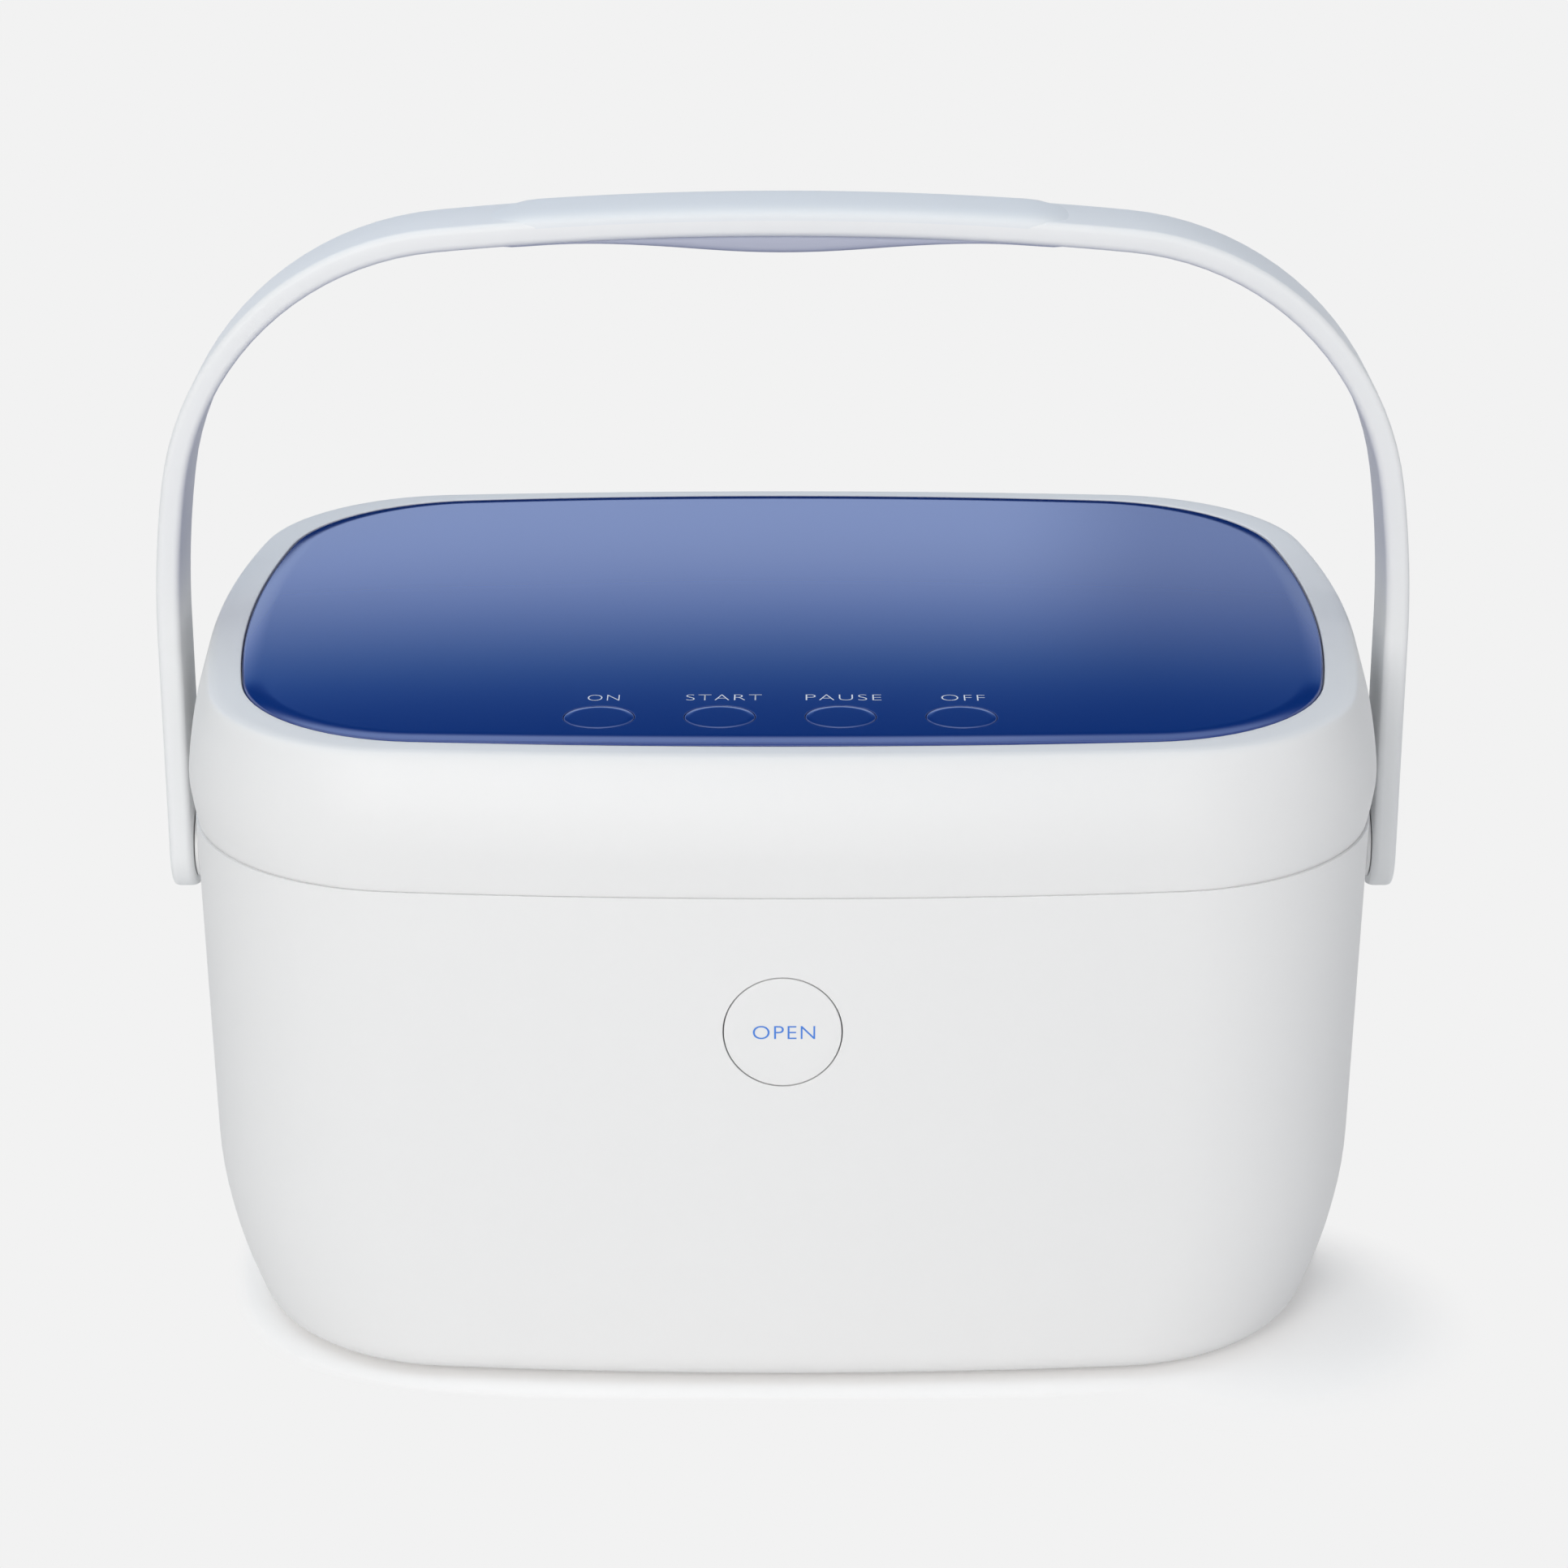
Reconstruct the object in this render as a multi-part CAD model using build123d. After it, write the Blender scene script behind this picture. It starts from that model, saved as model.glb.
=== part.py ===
from build123d import *
import math
import os

# Sanitizer box with a swing-over carry handle, sizes in millimetres.
# Origin on the table under the middle of the box: X to the right, Y to the back, Z up.

# Outer plan at the parting line
HALF_WIDTH = 147.0
HALF_DEPTH = 111.0
CORNER_R = 56.0
FRONT_BOW_R = 1000.0
SIDE_BOW_R = 480.0

# Base
FOOT_PROUD = 1.1
PARTING_Z = 130.0
BASE_TAPER = 1.2
SIDE_CURVE = 10.5
SIDE_CURVE_Z = 48.0
BASE_SECTIONS = 9
BASE_EDGE_R = 7.5
BASE_WALL = 2.5
BASE_FLOOR = 3.4
LEDGE_DEPTH = 4.0
LEDGE_DROP = 4.0
LEDGE_HEIGHT = 3.0

# Liner tub
TUB_SIDE_INSET = 15.0
TUB_FRONT_INSET = 19.0
TUB_CORNER_INSET = 16.0
TUB_WALL = 1.6
TUB_FLOOR_Z = 38.0
TUB_EDGE_R = 14.0
TUB_FLANGE = 2.0
SEAL_WIDTH = 5.0
SEAL_SIDE = 2.5
SEAL_LAP = 2.5

# Lid
LID_WALL = 2.5
LID_BULGE = 1.1
LID_BULGE_Z = 142.5
LID_EDGE = 0.6
SHOULDER_HEIGHTS = (0.4, 0.73)
SHOULDER_SIDES = (0.2, 0.62)
SHOULDER_FRONTS = (0.07, 0.3)
PANEL_SIDE_INSET = 12.0
PANEL_FRONT_INSET = 12.0
PANEL_CORNER_INSET = 8.0
PANEL_FRONT_BOW_R = 1240.0
PANEL_SIDE_BOW_R = 366.0
PANEL_Z = 164.3
PANEL_THICK = 3.0
PANEL_CROWN = 1.0
PANEL_LEDGE = 5.0
PANEL_LEDGE_THICK = 2.6
RIM_RISE = 0.8
RIM_FRONT = 6.2
RIM_SIDE = 8.9
RIM_CORNER_INSET = 5.0
RIM_FALL = 3.0
LINER_THICK = 1.8
BOSS_R = 4.0

# Clearances
MOVING_GAP = 0.4
PIECE_GAP = 0.3
PIN_GAP = 0.06

# Lid hinge
HINGE_OUT = 1.8
HINGE_BARREL_R = 3.6
HINGE_PIN_R = 1.5
HINGE_OFFSET_X = 78.0
KNUCKLE_LENGTH = 12.0
LID_ARM_RISE = 11.0
BASE_ARM_DROP = 15.0
ARM_ROOT = 5.4

# Lid push buttons
BUTTON_R = 8.36
BUTTON_PITCH = 29.2
BUTTON_INSET = 17.0
BUTTON_TRAVEL = 1.0
BUTTON_FLANGE = 1.3
BUTTON_FLANGE_THICK = 1.5
PLUNGER_R = 3.0
PLUNGER_LENGTH = 2.5
BOARD_THICK = 1.6
BOARD_MARGIN = 18.0
BOARD_DEPTH = 24.0
MAT_THICK = 1.2
DOME_R = 5.0
DOME_HEIGHT = 2.9

# Release button and latch
OPEN_R = 13.9
OPEN_Z = 96.0
OPEN_TRAVEL = 2.0
OPEN_FLANGE = 1.6
OPEN_FLANGE_THICK = 1.5
STEM_R = 4.2
GUIDE_WALL = 2.0
GUIDE_DEPTH = 7.2
GUIDE_BACK = 1.5
SPRING_R = 7.0
SPRING_WIRE = 0.9
LATCH_WIDTH = 32.0
LATCH_THICK = 1.6
LATCH_REACH = 1.6
LATCH_NOSE = 2.4
PEG_R = 1.6
PEG_OFFSET = 12.0
STRIKE_WIDTH = 18.0
STRIKE_THICK = 1.5
STRIKE_DROP = 9.0
STRIKE_BARB = 1.6

# Handle
HANDLE_CLEAR = 11.0
HANDLE_TOP_Z = 270.0
HANDLE_CROWN_R = 935.0
HANDLE_SHOULDER_R = 80.7
HANDLE_SIDE_R = 240.0
HANDLE_SIDE_Z = 167.0
STRAP_WIDTH = 23.5
STRAP_THICK = 6.0
STRAP_EDGE_R = 1.8
PIVOT_Z = 101.0
PIVOT_PIN_R = 5.0
PIVOT_PIN_DEPTH = 4.3
PIVOT_BOSS_R = 9.5
WASHER_THICK = 0.8
PIVOT_HEAD_R = 8.0
PIVOT_HEAD_THICK = 2.0
GRIP_LENGTH = 142.0
PAD_RISE = 2.0
PAD_WIDTH = 20.5
INSERT_WIDTH = 19.0
INSERT_THICK = 1.6
GRIP_EDGE_R = 1.0
BELLY_DEPTH = 4.0

# Ultraviolet lamps
WINDOW_LENGTH = 156.0
WINDOW_DEPTH = 30.0
WINDOW_LAP = 4.0
WINDOW_THICK = 2.0
LED_SIZE = 3.5
LED_HEIGHT = 1.4
LED_COUNT = 8
LED_PITCH = 19.0
LAMP_GAP = 0.4
LAMP_BOARD_EXTRA = 30.0
LAMP_BOARD_DEPTH = 16.0
POST_R = 2.6

# Rack
RACK_SIDE_INSET = 16.0
RACK_FRONT_INSET = 21.0
RACK_CORNER_R = 30.0
RACK_WIRE_R = 2.0
RACK_ROD_R = 1.4
RACK_LIFT = 12.0
RACK_RODS = 11

# Underside
COVER_WIDTH = 150.0
COVER_DEPTH = 106.0
COVER_CORNER_R = 5.0
COVER_THICK = 1.8
COVER_LIP = 7.0
SCREW_R = 1.5
SCREW_HEAD_R = 2.8
SCREW_HEAD = 1.0
FOOT_R = 9.0
FOOT_RECESS = 1.0
FOOT_X = 96.0
FOOT_Y = 62.0
CELL_R = 9.2
CELL_LENGTH = 66.0
CELL_COUNT = 4
BATTERY_X = -26.0
MAIN_BOARD_WIDTH = 38.0
MAIN_BOARD_DEPTH = 82.0
MAIN_BOARD_X = 42.0
MAIN_BOARD_RISE = 4.0
MAIN_BOARD_CHIPS = [
    (0.26, 0.12, 2.0, 0.0, 0.0),
    (0.18, 0.15, 6.0, -0.21, 0.32),
    (0.18, 0.15, 6.0, 0.21, 0.32),
    (0.32, 0.1, 4.0, 0.0, -0.34),
    (0.16, 0.07, 3.0, -0.26, -0.15),
]
SOCKET_Z = 36.0
SOCKET_BORE_R = 2.8
SOCKET_RIM_R = 5.0
SOCKET_WIDTH = 12.0
SOCKET_DEPTH = 12.0
SOCKET_BORE_DEPTH = 9.0

# Overshoot of cutting shapes beyond the faces that they cut
OVERCUT = 1.0

# Worked out from the sizes above
BODY_BOWS = (FRONT_BOW_R, SIDE_BOW_R)
PANEL_BOWS = (PANEL_FRONT_BOW_R, PANEL_SIDE_BOW_R)
SLOPE = math.tan(math.radians(BASE_TAPER))
TUB_HALF_WIDTH = HALF_WIDTH - TUB_SIDE_INSET
TUB_HALF_DEPTH = HALF_DEPTH - TUB_FRONT_INSET
TUB_CORNER_R = CORNER_R - TUB_CORNER_INSET
PANEL_HALF_WIDTH = HALF_WIDTH - PANEL_SIDE_INSET
PANEL_HALF_DEPTH = HALF_DEPTH - PANEL_FRONT_INSET
PANEL_CORNER_R = CORNER_R - PANEL_CORNER_INSET
RACK_HALF_WIDTH = TUB_HALF_WIDTH - RACK_SIDE_INSET
RACK_HALF_DEPTH = TUB_HALF_DEPTH - RACK_FRONT_INSET
HANDLE_HALF_WIDTH = HALF_WIDTH + HANDLE_CLEAR
BUTTON_Y = BUTTON_INSET - PANEL_HALF_DEPTH
LID_Z = PARTING_Z + MOVING_GAP
HINGE_Y = HALF_DEPTH + HINGE_OUT
HINGE_Z = PARTING_Z + MOVING_GAP / 2
FLANGE_Z = PARTING_Z - LEDGE_DROP
FLANGE_TOP = FLANGE_Z + TUB_FLANGE
LEDGE_Z = PANEL_Z - PANEL_THICK
BUTTON_XS = [(i - 1.5) * BUTTON_PITCH for i in range(4)]
BUTTON_NAMES = ["on", "start", "pause", "off"]


def mixed(start, end, share):
    """Value a share of the way from start to end."""
    return start + (end - start) * share


def bowed_edges(half_w, half_d, corner_r, bows):
    """Corner points of a rounded rectangle whose four sides bow outwards."""
    front_r, side_r = bows
    front_y = front_r - half_d
    side_x = half_w - side_r
    reach_front = front_r - corner_r
    reach_side = side_r - corner_r
    span = math.hypot(side_x, front_y)
    along = (reach_front ** 2 - reach_side ** 2 + span ** 2) / (2 * span)
    across = math.sqrt(reach_front ** 2 - along ** 2)
    ux, uy = side_x / span, -front_y / span
    cx = ux * along - uy * across
    cy = front_y + uy * along + ux * across
    if cx < 0:
        cx = ux * along + uy * across
        cy = front_y + uy * along - ux * across
    front = math.atan2(cy - front_y, cx)
    side = math.atan2(cy, cx - side_x)
    return cx, cy, front, side


def bowed_face(half_w, half_d, corner_r, z, bows=BODY_BOWS):
    """Flat face inside the bowed outline at height z."""
    cx, cy, front, side = bowed_edges(half_w, half_d, corner_r, bows)
    fx, fy = cx + corner_r * math.cos(front), cy + corner_r * math.sin(front)
    sx, sy = cx + corner_r * math.cos(side), cy + corner_r * math.sin(side)
    mid = (front + side) / 2
    mx, my = cx + corner_r * math.cos(mid), cy + corner_r * math.sin(mid)
    arcs = [
        ((-fx, fy), (0, -half_d), (fx, fy)),
        ((fx, fy), (mx, my), (sx, sy)),
        ((sx, sy), (half_w, 0), (sx, -sy)),
        ((sx, -sy), (mx, -my), (fx, -fy)),
        ((fx, -fy), (0, half_d), (-fx, -fy)),
        ((-fx, -fy), (-mx, -my), (-sx, -sy)),
        ((-sx, -sy), (-half_w, 0), (-sx, sy)),
        ((-sx, sy), (-mx, my), (-fx, fy)),
    ]
    wire = Wire([ThreePointArc(*arc) for arc in arcs])
    return Pos(0, 0, z) * Face(wire)


def bowed_prism(half_w, half_d, corner_r, low, high, bows=BODY_BOWS):
    """Straight-sided block with the bowed outline."""
    return extrude(bowed_face(half_w, half_d, corner_r, low, bows), high - low, dir=(0, 0, 1))


def rounded_below(solid, edge_r):
    """The solid with its bottom edges rounded."""
    bottom = solid.faces().sort_by(Axis.Z)[0]
    return fillet(bottom.edges(), edge_r)


def tapered_tub(half_w, half_d, corner_r, top, low, edge_r):
    """Block that narrows downwards, with a rounded bottom edge."""
    straight = extrude(bowed_face(half_w, half_d, corner_r, top), top - low, dir=(0, 0, -1), taper=BASE_TAPER)
    return rounded_below(straight, edge_r)


def block(x_size, y_size, low, high, x=0.0, y=0.0):
    """Square block between two heights."""
    return Pos(x, y, (low + high) / 2) * Box(x_size, y_size, high - low)


def post(radius, low, high, x=0.0, y=0.0):
    """Upright round bar between two heights."""
    return Pos(x, y, (low + high) / 2) * Cylinder(radius, high - low)


def bar_x(radius, low, high, y, z):
    """Round bar along X."""
    return Pos((low + high) / 2, y, z) * Rot(0, 90, 0) * Cylinder(radius, high - low)


def bar_y(radius, low, high, x, z):
    """Round bar along Y."""
    return Pos(x, (low + high) / 2, z) * Rot(90, 0, 0) * Cylinder(radius, high - low)


def mirrored(solid):
    """The solid and its copy on the other side of the middle plane."""
    return [solid, mirror(solid, Plane.YZ)]


def four_corners(x, y):
    """The four places at plus and minus x and y."""
    return [(sx * x, sy * y) for sx in (-1, 1) for sy in (-1, 1)]


# Base


def inner_reach(z):
    """Distance that the base wall has come in at height z."""
    return (PARTING_Z - z) * SLOPE


def side_reach(z):
    """Further distance that the side walls curve in towards the bottom."""
    return SIDE_CURVE * (max(SIDE_CURVE_Z - z, 0) / (SIDE_CURVE_Z - FOOT_PROUD)) ** 2


def base_form(inset, low):
    """Block of the base drawn in by inset, from the parting line down to low."""
    faces = []
    for i in range(BASE_SECTIONS):
        z = mixed(PARTING_Z, low, i / (BASE_SECTIONS - 1))
        reach = inset + inner_reach(z)
        faces.append(bowed_face(HALF_WIDTH - reach - side_reach(z), HALF_DEPTH - reach, CORNER_R - reach, z))
    return rounded_below(loft(faces), BASE_EDGE_R - inset)


def base_outer():
    """Outside of the base as one solid."""
    return base_form(0, FOOT_PROUD)


def base_inner():
    """Hollow of the base."""
    return base_form(BASE_WALL, FOOT_PROUD + BASE_FLOOR)


def flange_ledge():
    """Ledge round the inside of the wall, which carries the liner's flange."""
    low = FLANGE_Z - LEDGE_HEIGHT
    skin = BASE_WALL / 2 + inner_reach(low)
    inset = BASE_WALL + inner_reach(low) + LEDGE_DEPTH
    outer = bowed_prism(HALF_WIDTH - skin, HALF_DEPTH - skin, CORNER_R - skin, low, FLANGE_Z)
    return outer - bowed_prism(HALF_WIDTH - inset, HALF_DEPTH - inset, CORNER_R - inset, low, FLANGE_Z)


def washer_face_x():
    """Outer face of the pivot boss."""
    return HANDLE_HALF_WIDTH - STRAP_THICK - PIECE_GAP - WASHER_THICK


def cover_screw_places():
    """Centres of the screws that hold the underside cover."""
    return four_corners(COVER_WIDTH / 2 - COVER_LIP / 2, COVER_DEPTH / 2 - COVER_LIP / 2)


def knuckle_profile(side):
    """Side view of a hinge arm: the barrel joined to a tapering foot on the wall."""
    barrel = Pos(HINGE_Y, HINGE_Z) * Circle(HINGE_BARREL_R)
    back = HINGE_Y + HINGE_BARREL_R
    wall = HALF_DEPTH - BASE_WALL - ARM_ROOT
    if side == "base":
        far = HINGE_Z - BASE_ARM_DROP
        foot = Polygon((wall, HINGE_Z - PIECE_GAP), (wall, far), (HALF_DEPTH - BASE_WALL, far),
                       (back, HINGE_Z - HINGE_BARREL_R), (back, HINGE_Z - PIECE_GAP), align=None)
    else:
        far = HINGE_Z + LID_ARM_RISE
        foot = Polygon((wall, HINGE_Z + PIECE_GAP), (wall, far), (HALF_DEPTH, far), (back, HINGE_Z + PIECE_GAP),
                       align=None)
    return barrel + foot


def knuckle(side, x_low, x_high):
    """Hinge arm between two places along the hinge line."""
    face = Plane.YZ * knuckle_profile(side)
    solid = Pos(x_low, 0, 0) * extrude(face, x_high - x_low, dir=(1, 0, 0))
    return solid


def base_knuckle_spans():
    """Places along X of the two base knuckles beside each lid knuckle."""
    half = KNUCKLE_LENGTH / 2
    return [
        (HINGE_OFFSET_X - half - PIECE_GAP - KNUCKLE_LENGTH, HINGE_OFFSET_X - half - PIECE_GAP),
        (HINGE_OFFSET_X + half + PIECE_GAP, HINGE_OFFSET_X + half + PIECE_GAP + KNUCKLE_LENGTH),
    ]


def base_shell():
    """Outer shell with its ledge, pivot bosses, hinge knuckles and openings."""
    inner = base_inner()
    shell = base_outer() - inner
    shell += flange_ledge()
    boss_low = HALF_WIDTH - BASE_WALL - inner_reach(PIVOT_Z) - PIECE_GAP
    boss = bar_x(PIVOT_BOSS_R, boss_low, washer_face_x(), 0, PIVOT_Z)
    bore = bar_x(PIVOT_PIN_R + PIN_GAP, boss_low - BASE_WALL, HANDLE_HALF_WIDTH, 0, PIVOT_Z)
    for part in mirrored(boss):
        shell += part
    for part in mirrored(bore):
        shell -= part
    for low, high in base_knuckle_spans():
        arm = knuckle("base", low, high) - inner
        for part in mirrored(arm):
            shell += part
    half = KNUCKLE_LENGTH / 2 + PIECE_GAP
    gap = bar_x(HINGE_BARREL_R + MOVING_GAP, HINGE_OFFSET_X - half, HINGE_OFFSET_X + half, HINGE_Y, HINGE_Z)
    pin = bar_x(HINGE_PIN_R, HINGE_OFFSET_X - 2 * KNUCKLE_LENGTH, HINGE_OFFSET_X + 2 * KNUCKLE_LENGTH,
                HINGE_Y, HINGE_Z)
    for part in mirrored(gap) + mirrored(pin):
        shell -= part
    shell -= bar_y(OPEN_R + MOVING_GAP, -HALF_DEPTH - OVERCUT, open_wall_y() + OVERCUT, 0, OPEN_Z)
    shell -= bar_y(SOCKET_RIM_R + PIECE_GAP, socket_wall_y() - OVERCUT, HALF_DEPTH + OVERCUT, 0, SOCKET_Z)
    low = FOOT_PROUD
    recess = Pos(0, 0, low) * RectangleRounded(COVER_WIDTH + 2 * PIECE_GAP, COVER_DEPTH + 2 * PIECE_GAP,
                                                COVER_CORNER_R)
    shell -= extrude(recess, COVER_THICK, dir=(0, 0, 1))
    hatch = Pos(0, 0, low) * RectangleRounded(COVER_WIDTH - 2 * COVER_LIP, COVER_DEPTH - 2 * COVER_LIP,
                                               COVER_CORNER_R / 2)
    shell -= extrude(hatch, BASE_FLOOR, dir=(0, 0, 1))
    for x, y in cover_screw_places():
        shell -= post(SCREW_R, low, low + BASE_FLOOR, x, y)
    for x, y in four_corners(FOOT_X, FOOT_Y):
        shell -= post(FOOT_R, low, low + FOOT_RECESS, x, y)
    return shell


def bottom_cover():
    """Plate let into the underside, with countersunk screw holes."""
    low = FOOT_PROUD
    plate = Pos(0, 0, low) * RectangleRounded(COVER_WIDTH, COVER_DEPTH, COVER_CORNER_R)
    cover = extrude(plate, COVER_THICK, dir=(0, 0, 1))
    for x, y in cover_screw_places():
        cover -= post(SCREW_R, low, low + COVER_THICK, x, y)
        cover -= post(SCREW_HEAD_R, low, low + SCREW_HEAD, x, y)
    posts = four_corners(MAIN_BOARD_WIDTH / 2 - POST_R, MAIN_BOARD_DEPTH / 2 - POST_R)
    for x, y in posts:
        cover += post(POST_R, low + COVER_THICK, low + COVER_THICK + MAIN_BOARD_RISE, MAIN_BOARD_X + x, y)
    return cover


def bottom_screws():
    """Screws of the underside cover."""
    low = FOOT_PROUD
    return [post(SCREW_HEAD_R, low, low + SCREW_HEAD, x, y) + post(SCREW_R, low, low + BASE_FLOOR, x, y)
            for x, y in cover_screw_places()]


def rubber_feet():
    """Round feet with a softened lower edge."""
    feet = []
    for x, y in four_corners(FOOT_X, FOOT_Y):
        foot = post(FOOT_R, 0, FOOT_PROUD + FOOT_RECESS, x, y)
        feet.append(chamfer(foot.faces().sort_by(Axis.Z)[0].edges(), FOOT_RECESS / 2))
    return feet


def inner_tub():
    """Polished liner with a flange, a lamp window and posts for the lamp board."""
    top = FLANGE_TOP
    outer = tapered_tub(TUB_HALF_WIDTH, TUB_HALF_DEPTH, TUB_CORNER_R, top, TUB_FLOOR_Z - TUB_WALL, TUB_EDGE_R)
    inner = tapered_tub(TUB_HALF_WIDTH - TUB_WALL, TUB_HALF_DEPTH - TUB_WALL, TUB_CORNER_R - TUB_WALL, top,
                        TUB_FLOOR_Z, TUB_EDGE_R - TUB_WALL)
    reach = BASE_WALL + inner_reach(FLANGE_Z) + PIECE_GAP
    flange = bowed_prism(HALF_WIDTH - reach, HALF_DEPTH - reach, CORNER_R - reach, FLANGE_Z, FLANGE_TOP)
    tub = outer + flange - inner
    slot_back = -TUB_HALF_DEPTH - PIECE_GAP
    slot_front = -HALF_DEPTH + BASE_WALL + LEDGE_DEPTH
    tub -= block(LATCH_WIDTH + 2 * MOVING_GAP, slot_back - slot_front, FLANGE_Z, FLANGE_TOP, 0,
                 (slot_back + slot_front) / 2)
    tub -= block(WINDOW_LENGTH, WINDOW_DEPTH, TUB_FLOOR_Z - 2 * TUB_WALL, TUB_FLOOR_Z + TUB_WALL)
    low = TUB_FLOOR_Z - TUB_WALL
    drop = WINDOW_THICK + LAMP_GAP + LED_HEIGHT
    for x in lamp_post_xs():
        tub += post(POST_R, low - drop, low, x, 0)
    return tub


def lamp_post_xs():
    """Places of the two posts that carry a lamp board."""
    reach = WINDOW_LENGTH / 2 + LAMP_BOARD_EXTRA / 2 - POST_R
    return [-reach, reach]


def rim_gasket():
    """Seal ring on the liner's flange."""
    width = TUB_HALF_WIDTH + SEAL_SIDE
    depth = TUB_HALF_DEPTH - SEAL_LAP
    high = LID_Z - PIECE_GAP
    outer = bowed_prism(width + SEAL_WIDTH, depth + SEAL_WIDTH, TUB_CORNER_R + SEAL_WIDTH, FLANGE_TOP, high)
    return outer - bowed_prism(width, depth, TUB_CORNER_R, FLANGE_TOP, high)


def wire_rack():
    """Rack of round wire that holds the load above the lower lamp."""
    z = TUB_FLOOR_Z + RACK_LIFT
    path = RectangleRounded(2 * RACK_HALF_WIDTH, 2 * RACK_HALF_DEPTH, RACK_CORNER_R).wire().moved(Location((0, 0, z)))
    start = path @ 0
    section = Plane(start, z_dir=path % 0) * Circle(RACK_WIRE_R)
    rack = sweep(section, path)
    for i in range(RACK_RODS):
        x = (i - (RACK_RODS - 1) / 2) * 2 * RACK_HALF_WIDTH / (RACK_RODS + 1)
        rack += bar_y(RACK_ROD_R, -RACK_HALF_DEPTH, RACK_HALF_DEPTH, x, z)
    for x, y in four_corners(RACK_HALF_WIDTH / 2, RACK_HALF_DEPTH):
        rack += post(RACK_WIRE_R, TUB_FLOOR_Z, z, x, y)
    return rack


def lamp_window(low):
    """Clear plate over a row of lamps."""
    pane = block(WINDOW_LENGTH + 2 * WINDOW_LAP, WINDOW_DEPTH + 2 * WINDOW_LAP, low, low + WINDOW_THICK)
    return fillet(pane.edges().filter_by(Axis.Z), WINDOW_LAP)


def lamp_board(face_z, up):
    """Board with a row of lamp chips on the side that faces the window."""
    far = face_z - up * BOARD_THICK
    low, high = min(face_z, far), max(face_z, far)
    board = block(WINDOW_LENGTH + LAMP_BOARD_EXTRA, LAMP_BOARD_DEPTH, low, high)
    for i in range(LED_COUNT):
        x = (i - (LED_COUNT - 1) / 2) * LED_PITCH
        tip = face_z + up * LED_HEIGHT
        board += block(LED_SIZE, LED_SIZE, min(face_z, tip), max(face_z, tip), x, 0)
    return board


def base_lamp_face():
    """Height of the upper face of the lower lamp board."""
    return TUB_FLOOR_Z - TUB_WALL - WINDOW_THICK - LAMP_GAP - LED_HEIGHT


def battery_pack():
    """Row of round cells in a shrink sleeve."""
    low = FOOT_PROUD + COVER_THICK
    z = low + CELL_R
    pitch = 2 * CELL_R - PIECE_GAP
    first = BATTERY_X - (CELL_COUNT - 1) / 2 * pitch
    pack = bar_y(CELL_R, -CELL_LENGTH / 2, CELL_LENGTH / 2, first, z)
    for i in range(1, CELL_COUNT):
        pack += bar_y(CELL_R, -CELL_LENGTH / 2, CELL_LENGTH / 2, first + i * pitch, z)
    return pack


def main_board():
    """Control board with its chips and connectors."""
    low = FOOT_PROUD + COVER_THICK + MAIN_BOARD_RISE
    top = low + BOARD_THICK
    board = block(MAIN_BOARD_WIDTH, MAIN_BOARD_DEPTH, low, top, MAIN_BOARD_X, 0)
    for wide, deep, tall, x, y in MAIN_BOARD_CHIPS:
        board += block(wide * MAIN_BOARD_WIDTH, deep * MAIN_BOARD_DEPTH, top, top + tall,
                       MAIN_BOARD_X + x * MAIN_BOARD_WIDTH, y * MAIN_BOARD_DEPTH)
    return board


def socket_wall_y():
    """Inner face of the rear wall at the lower edge of the inlet's housing."""
    return HALF_DEPTH - inner_reach(SOCKET_Z - SOCKET_WIDTH / 2) - BASE_WALL


def dc_socket():
    """Charging inlet in the rear wall: a round collar on a square housing."""
    face = HALF_DEPTH - inner_reach(SOCKET_Z) - BASE_WALL / 2
    rear = socket_wall_y() - PIECE_GAP
    body = block(SOCKET_WIDTH, SOCKET_DEPTH, SOCKET_Z - SOCKET_WIDTH / 2, SOCKET_Z + SOCKET_WIDTH / 2, 0,
                 rear - SOCKET_DEPTH / 2)
    body += bar_y(SOCKET_RIM_R, rear - BASE_WALL, face, 0, SOCKET_Z)
    body -= bar_y(SOCKET_BORE_R, face - SOCKET_BORE_DEPTH, face + BASE_WALL, 0, SOCKET_Z)
    return body


def hinge_pins():
    """Two steel pins along the hinge line."""
    spans = base_knuckle_spans()
    return mirrored(bar_x(HINGE_PIN_R, spans[0][0], spans[1][1], HINGE_Y, HINGE_Z))


def pivot_pins():
    """Headed pins that carry the handle's legs."""
    wall = HALF_WIDTH - BASE_WALL - inner_reach(PIVOT_Z - PIVOT_HEAD_R)
    tip = HANDLE_HALF_WIDTH - STRAP_THICK + PIVOT_PIN_DEPTH - PIECE_GAP
    head = wall - PIECE_GAP
    pin = bar_x(PIVOT_PIN_R, head - PIVOT_HEAD_THICK, tip, 0, PIVOT_Z)
    pin += bar_x(PIVOT_HEAD_R, head - PIVOT_HEAD_THICK, head, 0, PIVOT_Z)
    pin -= bar_x(SCREW_R, head - PIVOT_HEAD_THICK, tip - PIVOT_HEAD_THICK, 0, PIVOT_Z)
    return mirrored(pin)


def pivot_washers():
    """Friction washers between the bosses and the legs."""
    low = washer_face_x()
    ring = bar_x(PIVOT_BOSS_R - PIECE_GAP, low, low + WASHER_THICK, 0, PIVOT_Z)
    ring -= bar_x(PIVOT_PIN_R + PIN_GAP, low, low + WASHER_THICK, 0, PIVOT_Z)
    return mirrored(ring)


# Release button and latch


def open_wall_y():
    """Inner face of the front wall at the lower edge of the button's flange."""
    reach = BASE_WALL + inner_reach(OPEN_Z - OPEN_R - OPEN_FLANGE)
    return -HALF_DEPTH + reach


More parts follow.
